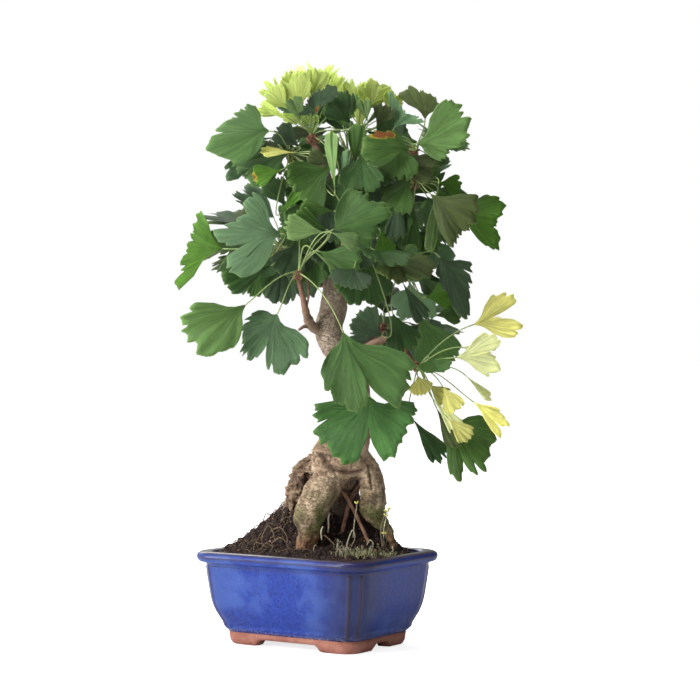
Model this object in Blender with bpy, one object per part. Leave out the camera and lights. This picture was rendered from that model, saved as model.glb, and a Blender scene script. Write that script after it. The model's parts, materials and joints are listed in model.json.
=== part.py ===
"""Ginkgo bonsai on exposed root legs, planted in a glazed oblong pot with a clay foot ring.

Sizes are in millimetres and are turned into metres where a mesh is made. The pot's long side
lies along X. The tree is laid out in a front frame, x to the right, d away and z up, whose front
is turned TREE_TURN about the pot's middle.
"""
import math
import random

import bmesh
import bpy
from mathutils import Matrix, Vector
from mathutils.bvhtree import BVHTree

MM = 0.001
SEED = 7
GAP = 0.3                       # between solids that touch on the real plant
SEAT_GAP = 0.45                 # between the root legs and their seats in the soil

# Pot
RIM_HALF = (82.5, 64.0)         # half length and half width over the rim
RIM_HEIGHT = 74.0
RIM_CORNER = 20.0
RIB_STAND = 1.0                 # each corner has two upright ribs that stand out this far
CORNER_STEPS = 6
# Outside of the glazed wall: how far it lies inside the rim's edge, at each height.
OUTER_WALL = ((9.0, 74.0), (3.0, 74.0), (0.3, 72.0), (0.0, 69.0), (1.2, 66.0), (5.2, 64.8),
              (6.2, 63.2), (6.5, 60.0), (7.5, 51.0), (9.6, 35.0), (11.9, 27.0), (15.3, 20.0),
              (17.2, 16.5), (17.4, 13.0), (20.5, 10.0))
INNER_WALL = ((25.0, 15.0), (20.0, 23.0), (15.6, 35.0), (13.6, 51.0), (12.4, 66.0), (11.0, 72.5))
RIBS_BETWEEN = (12.0, 61.0)     # heights that the corner ribs run between

# Foot ring
FOOT_TOP = 9.7
FOOT_OUTER = ((20.2, FOOT_TOP), (21.0, 3.0), (23.0, 0.0))
FOOT_INNER = 33.0
ARCH_RISE = 5.0
ARCH_ROUND = 4.0
FOOT_LENGTH = 32.0              # of each arm of a corner foot

# Soil
SOIL_EDGE = 71.0
SOIL_CLEAR = 0.35
SOIL_RINGS = (12.9, 22.0, 33.0, 45.0, 55.0)
CROWN_OF_SOIL = (7.0, 55.0)     # height and reach of the low dome
MOUNDS = (                       # height, x, d and reach each way of each mound
    (37.0, -13.0, 16.0, 40.0, 24.0),
    (27.0, 42.0, 12.0, 17.0, 16.0),
)

# Where someone who looks at the front stands; laid-out points line up for them.
TREE_TURN = math.radians(33.5)
EYE_DISTANCE = 1600.0
EYE_X = 26.0
EYE_HEIGHT = 234.0

# Wood: (x, d, z, radius) along each limb
TRUNK_RUN = ((15, 2, 127, 12), (16, 1, 137, 23), (19, 0, 149, 24), (24, 0, 167, 18),
             (29, 0, 192, 14), (25, 0, 220, 12.3), (12, 0, 240, 11.4), (9, 0, 253, 11),
             (13, 0, 268, 11), (15, 1, 300, 9.4), (14, 3, 330, 7.4), (13, 3, 352, 5.6),
             (8, 2, 370, 4.2), (2, 0, 388, 3.2), (-3, 0, 400, 2.6))
LEG_RUNS = {
    "left": ((14, -4, 146, 15), (9, -12, 131, 12.5), (3, -18, 120, 13), (-4, -20, 108, 12.6),
             (-7, -21, 98, 12), (-7, -22, 86, 9.6), (-11, -22, 77, 6.8), (-12, -22, 72, 6)),
    "right": ((32, -2, 146, 13), (41, -8, 134, 10), (44, -10, 120, 10.8), (44, -10, 108, 11.4),
              (48, -9, 99, 8.5), (55, -8, 91, 4.6), (60, -8, 80, 4.2), (61, -8, 74, 4.2)),
    "back": ((20, 6, 144, 15), (20, 17, 128, 14.5), (20, 22, 110, 15), (20, 24, 92, 14)),
    "burl": ((4, 6, 142, 11), (-8, 10, 139, 9.5), (-14, 12, 128, 9), (-17, 12, 116, 9.5),
             (-19, 12, 104, 8)),
}
LEG_SIDES = 12
TRUNK_SIDES = 14
CROSS_ROOTS = {
    "cross_root_a": ((12, -5, 134, 1.7), (19, -7, 123, 1.7), (30, -9, 104, 1.6), (41, -12, 80, 1.5)),
    "cross_root_b": ((38, -2, 132, 1.9), (33, -2, 125, 1.9), (26, -2, 113, 1.8), (21, -3, 94, 1.7),
                     (18, -4, 80, 1.6)),
}

# Leaves
BLADE_THICK = 0.8
STALK_RADIUS = 0.75
WAIST = 0.5                     # share of its spread that a blade has close to its stalk
CLEAR = 0.55                    # what a leaf keeps from other leaves and from wood
LAID_TRIES = 15
FILL_TRIES = 150
SHIFT_STEP = 3.0
PLAIN = (0.72, 0.93, 1.0, 0.88, 1.0, 0.93, 0.72)
WHOLE = (0.8, 0.95, 1.0, 1.0, 0.95, 0.8)
SLIM = (0.85, 1.0, 0.95, 0.8)
FAR = (0.74, 1.0, 0.8, 1.0, 0.74)    # for the rear, where a blade also has fewer faces
TINTS = {
    "blue": (0.24, 0.37, 0.27), "mid": (0.14, 0.30, 0.08), "dark": (0.05, 0.14, 0.04),
    "dusk": (0.07, 0.15, 0.10), "bright": (0.16, 0.38, 0.04), "young": (0.42, 0.56, 0.11),
    "pale": (0.42, 0.60, 0.30), "olive": (0.17, 0.21, 0.07), "yellow": (0.68, 0.60, 0.16),
    "cream": (0.83, 0.84, 0.50), "moss": (0.10, 0.22, 0.05),
}


def leaf(x, d, z, aim, length, spread, tint, rim=PLAIN, lean=-0.3, turn=None, fold=0.15):
    """A laid leaf: its blade's foot, aim in degrees from the right, size, and depth slopes."""
    if turn is None:
        turn = 0.55 * math.sin(0.13 * x + 0.29 * z)
    return dict(foot=(x, d, z), aim=aim, length=length, spread=spread, tint=tint, rim=rim,
                lean=lean, turn=turn, fold=fold)


# Each mass: the bough that carries it, its spur, the leaves laid on it, and the fill behind them.
MASSES = {
    "left_low": dict(
        bough=((6, -2, 250, 5.5), (-3, -8, 252, 4.8), (-8, -16, 260, 3.4), (-11, -24, 273, 2.4),
               (-15, -30, 290, 1.9)),
        spur=(-15, -31, 296), fill=0, space=((-20, -40, 290), (110, 70, 110)),
        leaves=(
            leaf(-57, -62, 270.5, 219, 58, 82, "mid", (.66, .83, .96, .96, .9, .98, .75, .68, .41),
                 lean=-.1, turn=.5),
            leaf(-32, -48, 263, 243, 55, 153, "blue", (.22, .38, .55, .62, .85, .5, .92, .8, .78, .55),
                 lean=-.25),
            leaf(20, -56, 249, 289.5, 76, 103, "mid", (.37, .57, .7, .83, .91, .55, 1, .93, .88, .72),
                 lean=-.15, turn=.1),
            leaf(12, -52, 330, 25, 51, 110, "mid", (.59, .69, .69, .73, 1, .82, .8, .75, .67, .27),
                 lean=-.2, turn=-.2),
            leaf(11, -58, 328, 338, 25, 46, "pale", SLIM, lean=-.3),
            leaf(6, -44, 328, 172, 34, 46, "pale", SLIM, lean=-.1, turn=.5),
            leaf(8, -36, 330, 155, 30, 44, "moss", WHOLE),
            leaf(1, -42, 313, 335, 36, 74, "mid", WHOLE),
            leaf(-6, -50, 316, 320, 42, 9, "pale", SLIM, lean=0, turn=1.2),
            leaf(-16, -24, 322, 250, 32, 74, "dusk", WHOLE),
        )),
    "left_mid": dict(
        bough=((13, 0, 303, 4.4), (0, -4, 305, 3.2), (-16, -6, 306, 2.4), (-30, -6, 309, 1.9)),
        spur=(-33, -7, 311), fill=3, space=((-62, 18, 315), (42, 42, 36)),
        leaves=(
            leaf(-29, -34, 327, 181, 60, 128, "blue", (.6, .69, .55, .63, .93, .56, .88, .78, .4),
                 lean=-.1, turn=-.2),
            leaf(-75, -8, 315, 170, 56, 99, "bright", (.65, .58, .54, .53, .56, .64, .76, .95),
                 lean=.5, turn=.6),
            leaf(-36, -2, 302, 205, 43, 34, "dark", SLIM),
            leaf(-44, -4, 300, 252, 26, 34, "moss", SLIM, lean=.1),
            leaf(-27, -10, 305, 262, 36, 44, "dusk", WHOLE),
        )),
    "left_top": dict(
        bough=((13, 3, 345, 4.4), (0, 0, 362, 3.2), (-10, -3, 376, 2.5), (-19, -5, 386, 1.9)),
        spur=(-22, -6, 389), fill=5, space=((-42, 22, 385), (44, 48, 40)),
        leaves=(
            leaf(-38, -30, 409, 180, 53, 122, "mid", (.47, .58, .6, .64, .83, 1, .79, .68, .32),
                 lean=-.1, turn=-.3, fold=-.3),
            leaf(-20, -12, 395, 207, 46, 66, "dark", PLAIN),
            leaf(-14, -8, 396, 140, 26, 60, "dusk", WHOLE, lean=.2),
            leaf(-29, -26, 378, 196, 24, 60, "bright", WHOLE),
            leaf(-18, -26, 392, 180, 28, 24, "yellow", SLIM),
            leaf(-25, -14, 348, 122, 28, 60, "dark", WHOLE, lean=.1),
            leaf(-30, -20, 343, 48, 24, 30, "bright", SLIM),
            leaf(12, -30, 382, 217, 41, 84, "moss", (.78, .93, .95, .93, .95, 1, .98), lean=-.2, turn=.2),
            leaf(14, -34, 361, 95, 49, 17, "pale", (.9, 1, 1, .75), lean=-.1, turn=1.0),
            leaf(11, -24, 381, 152, 21, 50, "olive", WHOLE),
            leaf(14, -16, 345, 176, 28, 40, "moss", SLIM),
        )),
    "top_left": dict(
        bough=None, spur=(-4, 0, 405), fill=6, space=((-8, 16, 432), (34, 40, 30)),
        leaves=(
            leaf(2, -8, 440, 82, 28, 64, "young", (.87, .6, .9, .86, .6, .74, .68, .72, 1), lean=.1),
            leaf(-14, -14, 424, 99, 31, 74, "young", (.7, .86, 1, 1, .8, .98, .7)),
            leaf(-5, 14, 440, 126, 27, 44, "cream", PLAIN, lean=.2),
            leaf(-24, -6, 431, 139, 27, 46, "young", (.9, .6, 1, .7, 1, .75), lean=.1),
            leaf(-19, -18, 415, 148, 32, 15, "young", SLIM, lean=0, turn=1),
            leaf(0, -26, 421.5, 112, 27, 136, "dusk", (.88, 1, .78, .7, .6, .5, .46, .48, .6)),
            leaf(26, -20, 415, 124, 29, 100, "dark", (.5, .9, .98, .86, .8, .86, .8, .6)),
        )),
    "top_mid": dict(
        bough=((14, 3, 346, 4.6), (21, 4, 361, 3.6), (30, 3, 371, 3.1), (37, 2, 379, 2.7),
               (38, 1, 391, 2.2), (36, 0, 404, 1.9)),
        spur=(36, 0, 409), fill=5, space=((40, 20, 422), (30, 40, 28)),
        leaves=(
            leaf(30, -4, 428, 112, 24, 74, "young", (.9, .6, 1, .95, .66, .9, .8), lean=.1),
            leaf(43, -6, 429, 76, 23, 96, "young", (.8, 1, .7, .9, 1, .66, .85), lean=.1),
            leaf(37, -16, 414, 114, 26, 32, "pale", SLIM, lean=-.1, turn=.5),
            leaf(47, -12, 413, 62, 19, 74, "olive", WHOLE),
            leaf(30, -16, 380, 88, 35, 34, "moss", SLIM),
            leaf(20, -14, 361, 84, 34, 16, "blue", (.8, 1, 1, .8), lean=-.1, turn=1),
        )),
    "top_right": dict(
        bough=((36, 2, 377, 3.2), (50, 3, 380, 2.8), (64, 0, 386, 2.3), (75, -4, 392, 1.9)), on="top_mid",
        spur=(79, -6, 395), fill=5, space=((92, 22, 402), (36, 44, 36)),
        leaves=(
            leaf(79, -28, 399, 8.5, 49, 107, "mid", (.3, .52, .57, .56, .82, .9, .99, .99, .96, .72),
                 lean=-.1, turn=.2),
            leaf(74, -38, 394, 168, 40, 88, "moss", (.36, .52, .6, .83, .97, 1, .98, .88, .64),
                 lean=-.3, turn=.2),
            leaf(86, -8, 418, 91, 31, 92, "olive", (.5, .6, .66, .7, .74, .85, 1, 1, .95), lean=.1),
            leaf(61, -10, 411, 54, 31, 92, "blue", (.8, .74, .6, .52, .5, .58, .66, .85, 1)),
            leaf(62, -30, 384, 348, 35, 58, "olive", PLAIN, lean=-.1, turn=.3),
        )),
    "right_upper": dict(
        bough=((14, 1, 326, 4.8), (35, -2, 338, 3.6), (55, -6, 349, 2.7), (70, -9, 357, 2.1),
               (76, -10, 364, 1.9)),
        spur=(79, -11, 368), fill=5, space=((100, 18, 350), (40, 44, 34)),
        leaves=(
            leaf(90, -34, 359, 320, 50, 78, "olive", (.4, .98, .84, .82, .88, .87, .84, .8, .74)),
            leaf(97, -40, 368, 262, 56, 15, "pale", (.8, 1, 1, .8), lean=-.1, turn=1.1),
            leaf(112, -12, 345, 348.5, 47, 88, "bright", (.6, .97, .87, .75, .7, .8, .87, .75, .57),
                 lean=.2),
            leaf(96, -14, 368, 352, 20, 66, "bright", WHOLE, lean=.1),
            leaf(72, -18, 364, 186, 41, 44, "dusk", WHOLE),
            leaf(66, -24, 358, 262, 37, 34, "dusk", WHOLE),
            leaf(77, -26, 352, 267, 42, 30, "mid", WHOLE, lean=-.1, turn=.3),
        )),
    "centre_front": dict(
        bough=((15, 1, 309, 4.2), (20, -10, 313, 3.2), (28, -20, 317, 2.3), (33, -25, 319, 1.9)),
        spur=(36, -28, 321), fill=0, space=((30, -40, 300), (70, 50, 80)),
        leaves=(
            leaf(36, -36, 314, 273, 48, 80, "dark", (.73, .84, .92, .99, .88, 1, .96, .88, .77)),
            leaf(20, -38, 318, 340, 30, 74, "dusk", WHOLE),
            leaf(52, -24, 245, 150, 28, 100, "dusk", WHOLE),
            leaf(50, -32, 330, 285, 24, 60, "bright", WHOLE),
        )),
    "right_mid": dict(
        bough=((15, 1, 290, 4.6), (35, 0, 297, 3.5), (52, -3, 301, 2.6), (63, -5, 302, 1.9)),
        spur=(67, -6, 302), fill=5, space=((80, 24, 280), (40, 42, 36)),
        leaves=(
            leaf(97, -26, 309, 305, 57, 92, "dusk", (.26, .3, .52, 1, .74, .63, .55, .5, .47),
                 lean=0, turn=.3),
            leaf(57, -22, 297, 18, 31, 80, "mid", WHOLE),
            leaf(68, -34, 288, 300, 37, 30, "dusk", WHOLE, lean=-.1, turn=.4),
            leaf(86, -20, 276, 8, 24, 76, "bright", WHOLE),
            leaf(95, -12, 262, 6, 21, 70, "moss", WHOLE, lean=.1),
            leaf(80, -4, 264, 296, 51, 62, "mid", PLAIN, lean=.1),
            leaf(60, -20, 264, 290, 34, 66, "dark", WHOLE),
        )),
    "right_low": dict(
        bough=((24, 0, 223, 5.0), (38, -3, 235, 3.6), (56, -8, 243, 2.9), (68, -14, 236, 2.3),
               (76, -18, 225, 1.9)),
        spur=(80, -20, 219), fill=0, space=((110, -20, 200), (90, 60, 90)),
        leaves=(
            leaf(124, -34, 254, 17, 43, 80, "yellow", (.63, .81, .95, .88, .56, .5, 1, .95, .79, .65),
                 lean=.1),
            leaf(110, -44, 228, 6.5, 38, 75, "cream", (.79, .92, 1, .87, .38, 1, 1, .87, .74)),
            leaf(118, -38, 214, 318, 30, 18, "cream", SLIM, lean=.2, turn=1),
            leaf(124, -50, 193, 324, 38, 44, "yellow", (.74, .98, .68, .95, .78, .66, .55)),
            leaf(80, -40, 214, 285, 17, 96, "yellow", WHOLE, lean=-.2),
            leaf(88, -34, 207, 322, 22, 54, "yellow", WHOLE),
            leaf(93, -44, 194, 310, 33, 30, "cream", SLIM),
            leaf(104, -50, 180, 316, 25, 50, "yellow", WHOLE),
            leaf(95, -38, 188, 296, 36, 28, "olive", WHOLE),
            leaf(104, -22, 178, 318, 52, 102, "moss", (.57, .96, .68, 1, .88, .8, .81, .75, .65, .5)),
            leaf(76, -14, 179, 307, 42, 32, "dark", WHOLE),
        )),
    "low_front": dict(
        bough=((34, -6, 146, 4.0), (39, -20, 160, 2.8), (41, -27, 176, 2.2), (41, -30, 188, 1.9)),
        spur=(41, -31, 192), fill=0, space=((40, -40, 170), (70, 50, 60)),
        leaves=(
            leaf(41, -42, 198, 270, 60, 162, "blue", (.75, .8, .92, .93, 1, .42, .92, .77, .68, .7, .63),
                 lean=-.1),
        )),
    "back_left": dict(
        bough=((13, 3, 282, 4.6), (0, 20, 292, 3.4), (-14, 38, 304, 2.5), (-26, 50, 314, 1.9)),
        spur=(-29, 53, 317), fill=12, space=((-48, 62, 326), (54, 52, 62)),
        leaves=(
            leaf(-24, 38, 318, 60, 40, 90, "dark", FAR),
            leaf(-22, 34, 306, 282, 36, 84, "dusk", FAR),
        )),
    "back_right": dict(
        bough=((15, 3, 314, 4.6), (32, 20, 322, 3.4), (48, 38, 332, 2.5), (60, 50, 340, 1.9)),
        spur=(63, 53, 343), fill=12, space=((82, 62, 344), (54, 52, 62)),
        leaves=(
            leaf(57, 36, 352, 172, 42, 88, "dark", FAR),
            leaf(64, 34, 332, 262, 44, 88, "dusk", FAR),
            leaf(70, 38, 354, 62, 40, 90, "moss", FAR),
        )),
    "back_low": dict(
        bough=((25, 2, 216, 4.6), (30, 20, 228, 3.4), (40, 38, 240, 2.5), (50, 48, 250, 1.9)),
        spur=(53, 51, 253), fill=9, space=((66, 66, 256), (56, 56, 46)), leaves=()),
    "back_mid": dict(
        bough=((14, 1, 298, 4.4), (14, 24, 304, 3.2), (16, 44, 310, 2.4), (18, 60, 318, 1.9)),
        spur=(19, 64, 320), fill=10, space=((18, 76, 326), (46, 46, 48)),
        leaves=(
            leaf(27, 50, 314, 300, 42, 92, "dark", FAR),
            leaf(8, 50, 322, 150, 42, 90, "dusk", FAR),
            leaf(24, 48, 332, 78, 38, 90, "dark", FAR),
        )),
    "back_top": dict(
        bough=((13, 3, 334, 4.2), (18, 22, 352, 3.1), (22, 40, 372, 2.3), (24, 50, 386, 1.9)),
        spur=(25, 53, 390), fill=11, space=((22, 62, 408), (58, 50, 46)),
        leaves=(
            leaf(34, 38, 374, 296, 40, 92, "dark", FAR),
            leaf(8, 40, 380, 236, 42, 90, "dusk", FAR),
            leaf(40, 36, 396, 20, 40, 92, "dark", FAR),
        )),
}


# ---------------------------------------------------------------- how the tree grows (millimetres)

def seen(x, d, z):
    """The point at depth d that lines up with x and z for someone at the front."""
    far = 1 + d / EYE_DISTANCE
    return Vector((EYE_X + (x - EYE_X) * far, d, EYE_HEIGHT + (z - EYE_HEIGHT) * far))


def smooth_run(stations, steps=2):
    """A limb's centres and radii on a Catmull-Rom curve through its stations."""
    knots = [(seen(x, d, z), r) for x, d, z, r in stations]
    run = []
    for i in range(len(knots) - 1):
        p1, r1 = knots[i]
        p2, r2 = knots[i + 1]
        p0 = knots[i - 1][0] if i else p1 - (p2 - p1)
        p3 = knots[i + 2][0] if i + 2 < len(knots) else p2 + (p2 - p1)
        for step in range(steps):
            t = step / steps
            turn = (2 * p0 - 5 * p1 + 4 * p2 - p3) * t * t + (3 * p1 - p0 - 3 * p2 + p3) * t ** 3
            run.append((p1 + ((p2 - p0) * t + turn) / 2, r1 + (r2 - r1) * t))
    return run + [knots[-1]]


def tube(run, sides, grow=0.0):
    """Points and faces of a closed tapering tube with flat ends; grow swells it all round."""
    points = []
    faces = []
    across = None
    for i, (centre, radius) in enumerate(run):
        ahead = run[min(i + 1, len(run) - 1)][0] - run[max(i - 1, 0)][0]
        ahead.normalize()
        if across is None:
            across = Vector((0.0, -1.0, 0.0)) if abs(ahead.y) < 0.8 else Vector((1.0, 0.0, 0.0))
        across = (across - ahead * across.dot(ahead)).normalized()
        up = ahead.cross(across)
        shift = ahead * grow * ((i == len(run) - 1) - (i == 0))
        for side in range(sides):
            angle = math.tau * side / sides
            out = across * math.cos(angle) + up * math.sin(angle)
            points.append(centre + shift + out * (radius + grow))
    last = len(points) - sides
    for ring in range(0, last, sides):
        for side in range(sides):
            follow = (side + 1) % sides
            faces.append((ring + side, ring + follow, ring + sides + follow))
            faces.append((ring + side, ring + sides + follow, ring + sides + side))
    faces.append(tuple(range(sides - 1, -1, -1)))
    faces.append(tuple(range(last, last + sides)))
    return points, faces


def rim_reach(rim, t):
    """Reach of a blade's rim at t from -1 to 1: round lobes, and clefts that come to a point."""
    place = (t + 1) / 2 * (len(rim) - 1)
    i = min(int(place), len(rim) - 2)
    share = place - i
    low, high = rim[i], rim[i + 1]
    if low > high:
        low, high, share = high, low, 1 - share
    return low + (high - low) * math.sin(share * math.pi / 2) ** 0.8


def blade_point(frame, t, u):
    """Middle surface of a blade at t across its spread and u along, from the foot to the rim."""
    waist = WAIST + (1 - WAIST) * min(1.0, u / 0.6) ** 1.5
    angle = math.radians(frame["spread"] / 2) * t * waist
    reach = frame["length"] * rim_reach(frame["rim"], t) * u
    along = reach * math.cos(angle)
    side = reach * math.sin(angle)
    rise = frame["fold"] * abs(side) - frame["curl"] * along * along / frame["length"]
    return frame["foot"] + frame["ahead"] * along + frame["across"] * side + frame["face"] * rise


def leaf_solid(frame, start, margin=0.0, columns=None, rows=None):
    """One closed leaf: a three-sided stalk that opens into a thin blade.

    Gives its points, the faces of its blade and those of its stalk; margin swells it for a test.
    """
    columns = columns or len(frame["rim"])
    rows = rows or frame["rows"]
    points = []
    blade_faces = []
    stalk_faces = []

    run = stalk_run(start, frame, STALK_RADIUS + margin, frame["steps"])
    run = [(p, r) for p, r in run[:-1]] + [(frame["foot"], STALK_RADIUS + margin)]
    ahead = frame["ahead"].normalized()
    across = (frame["across"] - ahead * frame["across"].dot(ahead)).normalized()
    under = ahead.cross(across)
    if under.dot(frame["face"]) > 0:
        under.negate()
    rings = []
    for i in range(len(run) - 1, -1, -1):
        before = (run[min(i + 1, len(run) - 1)][0] - run[max(i - 1, 0)][0]).normalized()
        bend = ahead.rotation_difference(before)
        across = bend @ across
        under = bend @ under
        ahead = before
        point, radius = run[i]
        rings.append((point - across * radius, point + across * radius, point + under * radius * 1.2))
    for ring in reversed(rings):
        points += ring
    foot = len(points) - 3
    left, right, below = foot, foot + 1, foot + 2
    stalk_faces.append((0, 1, 2))
    for i in range(0, foot, 3):
        for a, b in ((0, 1), (1, 2), (2, 0)):
            stalk_faces.append((i + a, i + b, i + 3 + b, i + 3 + a))

    nudge = 0.02
    swell = 1 + margin / frame["length"]
    for sign in (1, -1):
        for u in rows:
            for c in range(columns):
                t = -1 + 2 * c / (columns - 1)
                middle = blade_point(frame, t, u)
                spread = (blade_point(frame, min(t + nudge, 1.0), u)
                          - blade_point(frame, max(t - nudge, -1.0), u))
                slope = spread.cross(middle - blade_point(frame, t, u - nudge)).normalized()
                middle = frame["foot"] + (middle - frame["foot"]) * swell
                points.append(middle + slope * sign * (BLADE_THICK / 2 + margin))

    def at(side, row, column):
        return foot + 3 + (side * len(rows) + row) * columns + column

    top = at(0, 0, 0)
    if (points[top] - points[at(1, 0, 0)]).dot(frame["face"]) < 0:
        upper, lower = 1, 0
    else:
        upper, lower = 0, 1
    last = columns - 1
    half = columns // 2
    for c in range(last):
        blade_faces.append((left if c < half else right, at(upper, 0, c), at(upper, 0, c + 1)))
        blade_faces.append((below, at(lower, 0, c + 1), at(lower, 0, c)))
        for r in range(len(rows) - 1):
            for side in (0, 1):
                blade_faces.append((at(side, r, c), at(side, r, c + 1),
                                    at(side, r + 1, c + 1), at(side, r + 1, c)))
        end = len(rows) - 1
        blade_faces.append((at(upper, end, c), at(upper, end, c + 1),
                            at(lower, end, c + 1), at(lower, end, c)))
    blade_faces.append((left, at(upper, 0, half), right))
    for corner, c in ((left, 0), (right, last)):
        blade_faces.append((corner, at(upper, 0, c), at(lower, 0, c), below))
        for r in range(len(rows) - 1):
            blade_faces.append((at(upper, r, c), at(upper, r + 1, c),
                                at(lower, r + 1, c), at(lower, r, c)))
    return points, blade_faces, stalk_faces


def stalk_run(start, frame, radius, steps):
    """A leaf stalk from its spur, bending until it lines up with the blade."""
    foot = frame["foot"]
    ahead = frame["ahead"].normalized()
    span = (foot - start).length
    first = start + frame["leave"] * span * 0.35
    second = foot - ahead * span * 0.3
    run = []
    for step in range(steps + 1):
        t = step / steps
        s = 1 - t
        point = start * s ** 3 + first * 3 * s * s * t + second * 3 * s * t * t + foot * t ** 3
        run.append((point, radius))
    return run


def laid_frame(entry, spur):
    """A laid leaf's frame: its outline is true from the front, and slopes give it depth."""
    aim = math.radians(entry["aim"])
    foot = seen(*entry["foot"])
    far = 1 + entry["foot"][1] / EYE_DISTANCE
    ahead = Vector((math.cos(aim), entry["lean"], math.sin(aim))) * far
    across = Vector((-math.sin(aim), entry["turn"], math.cos(aim))) * far
    face = Vector((0.0, -1.0, 0.0))
    leave = (foot - spur).normalized() + Vector((0.0, -0.2, 0.5))
    return dict(foot=foot, ahead=ahead, across=across, face=face, leave=leave.normalized(), curl=0.12,
                length=entry["length"], spread=entry["spread"], rim=entry["rim"], fold=entry["fold"],
                tint=entry["tint"], steps=3, rows=(0.4, 1.0) if entry["rim"] is not FAR else (1.0,))


def grown_frame(rng, spur, heart):
    """A leaf of the fill: it leaves the spur outwards, and its blade arches over and hangs."""
    out = (spur - heart).normalized() * 0.7
    out += Vector((rng.uniform(-1, 1), rng.uniform(-1, 1), rng.uniform(-0.7, 1.0)))
    out.normalize()
    foot = spur + out * rng.uniform(16, 40)
    ahead = out + Vector((0.0, 0.0, rng.uniform(-1.1, 0.1)))
    ahead.normalize()
    face = out * 0.7 + Vector((rng.uniform(-0.5, 0.5), rng.uniform(-0.5, 0.5), rng.uniform(0.3, 1.2)))
    face = (face - ahead * face.dot(ahead)).normalized()
    cleft = rng.uniform(0.55, 0.95)
    rim = (0.74, 1.0, cleft, 1.0, 0.74)
    tint = rng.choice(("mid", "mid", "moss", "moss", "dark", "dusk", "bright", "blue", "olive"))
    return dict(foot=foot, ahead=ahead, across=ahead.cross(face), face=face, leave=out,
                length=rng.uniform(36, 50), spread=rng.uniform(84, 128), rim=rim,
                curl=rng.uniform(0.1, 0.35), fold=rng.uniform(0.05, 0.3), tint=tint, steps=2, rows=(1.0,))


def fits(points, space):
    """Whether every point lies inside a mass's own space, an ellipsoid."""
    centre = Vector(space[0])
    for point in points:
        away = point - centre
        if sum((away[i] / space[1][i]) ** 2 for i in range(3)) > 1:
            return False
    return True


def tree_of(points, faces):
    """A search tree of faces, to test for touching."""
    return BVHTree.FromPolygons([tuple(p) for p in points], faces, epsilon=0.0)


def grow_masses(wood):
    """Leaf frames of every mass: laid ones first, then the seeded fill, each clear of the rest."""
    stalks = {}
    taken = []
    rng = random.Random(SEED)
    heart = seen(18, 8, 330)
    for name, mass in MASSES.items():
        stalks[name] = (seen(*mass["spur"]), [])
        taken.append((name, None, tree_of(*tube(stem_run(name), 6, CLEAR))))
    for name, mass in MASSES.items():
        spur = stalks[name][0]
        for entry in mass["leaves"]:
            place_leaf(name, laid_frame(entry, spur), spur, rng, wood, taken, stalks, LAID_TRIES)
    for name, mass in MASSES.items():
        spur = stalks[name][0]
        left = mass["fill"]
        tries = FILL_TRIES * left
        while left and tries:
            tries -= 1
            frame = grown_frame(rng, spur, heart)
            if fits(leaf_solid(frame, spur)[0], mass["space"]):
                left -= place_leaf(name, frame, spur, rng, wood, taken, stalks, 1)
    return stalks


def place_leaf(name, frame, spur, rng, wood, taken, stalks, tries):
    """Add a leaf where it is clear; a laid one may first move a little in depth."""
    jitter = Vector((rng.uniform(-1, 1), rng.uniform(-1, 1), rng.uniform(-1, 1))) * 0.5
    start = spur + frame["leave"] * 0.9 + jitter
    home = frame["foot"]
    eye = Vector((EYE_X, -EYE_DISTANCE, EYE_HEIGHT))
    for attempt in range(tries):
        shift = SHIFT_STEP * ((attempt + 1) // 2) * (1 if attempt % 2 else -1)
        far = (home.y + shift + EYE_DISTANCE) / (home.y + EYE_DISTANCE)
        frame["foot"] = eye + (home - eye) * far
        points, blade_faces, stalk_faces = leaf_solid(frame, start, CLEAR)
        blade_tree = tree_of(points, blade_faces)
        stalk_tree = tree_of(points, stalk_faces)
        clear = not any(blade_tree.overlap(tree) or stalk_tree.overlap(tree) for tree in wood)
        for who, blade_there, stalk_there in taken:
            if not clear:
                break
            if blade_there and (blade_tree.overlap(blade_there) or stalk_tree.overlap(blade_there)):
                clear = False
            elif blade_tree.overlap(stalk_there):
                clear = False
            elif who != name and stalk_tree.overlap(stalk_there):
                clear = False
        if clear:
            stalks[name][1].append((frame, start))
            points, blade_faces, stalk_faces = leaf_solid(frame, start)
            taken.append((name, tree_of(points, blade_faces), tree_of(points, stalk_faces)))
            return 1
    return 0


def bough_run(name):
    """The bough that carries a mass; the trunk's own tip carries the one without a bough."""
    return smooth_run(MASSES[name]["bough"] or TRUNK_RUN)


def stem_run(name):
    """The short stem of a mass: it starts a gap beyond its bough's tip and ends in the spur."""
    run = bough_run(name)
    tip, radius = run[-1]
    ahead = (tip - run[-2][0]).normalized()
    spur = seen(*MASSES[name]["spur"])
    foot = tip + ahead * GAP
    return [(foot, radius * 0.95), (foot + ahead * 2.0, radius * 0.9),
            (spur, radius * 1.25), (spur + (spur - tip).normalized() * 2.2, radius * 0.8)]


def wood_trees():
    """Trees of faces for every limb, which leaves keep clear of."""
    runs = [smooth_run(TRUNK_RUN)]
    runs += [smooth_run(stations) for stations in LEG_RUNS.values()]
    runs += [smooth_run(stations) for stations in CROSS_ROOTS.values()]
    runs += [bough_run(name) for name, mass in MASSES.items() if mass["bough"]]
    return [tree_of(*tube(run, 10)) for run in runs]


# ---------------------------------------------------------------- Blender objects (metres)

def finish_mesh(name, points, faces):
    """A mesh in metres from points in millimetres, with its faces pointing out."""
    mesh = bpy.data.meshes.new(name)
    mesh.from_pydata([p * MM for p in points], [], faces)
    shape = bmesh.new()
    shape.from_mesh(mesh)
    bmesh.ops.triangulate(shape, faces=shape.faces)
    bmesh.ops.recalc_face_normals(shape, faces=shape.faces)
    shape.to_mesh(mesh)
    shape.free()
    return mesh


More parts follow.
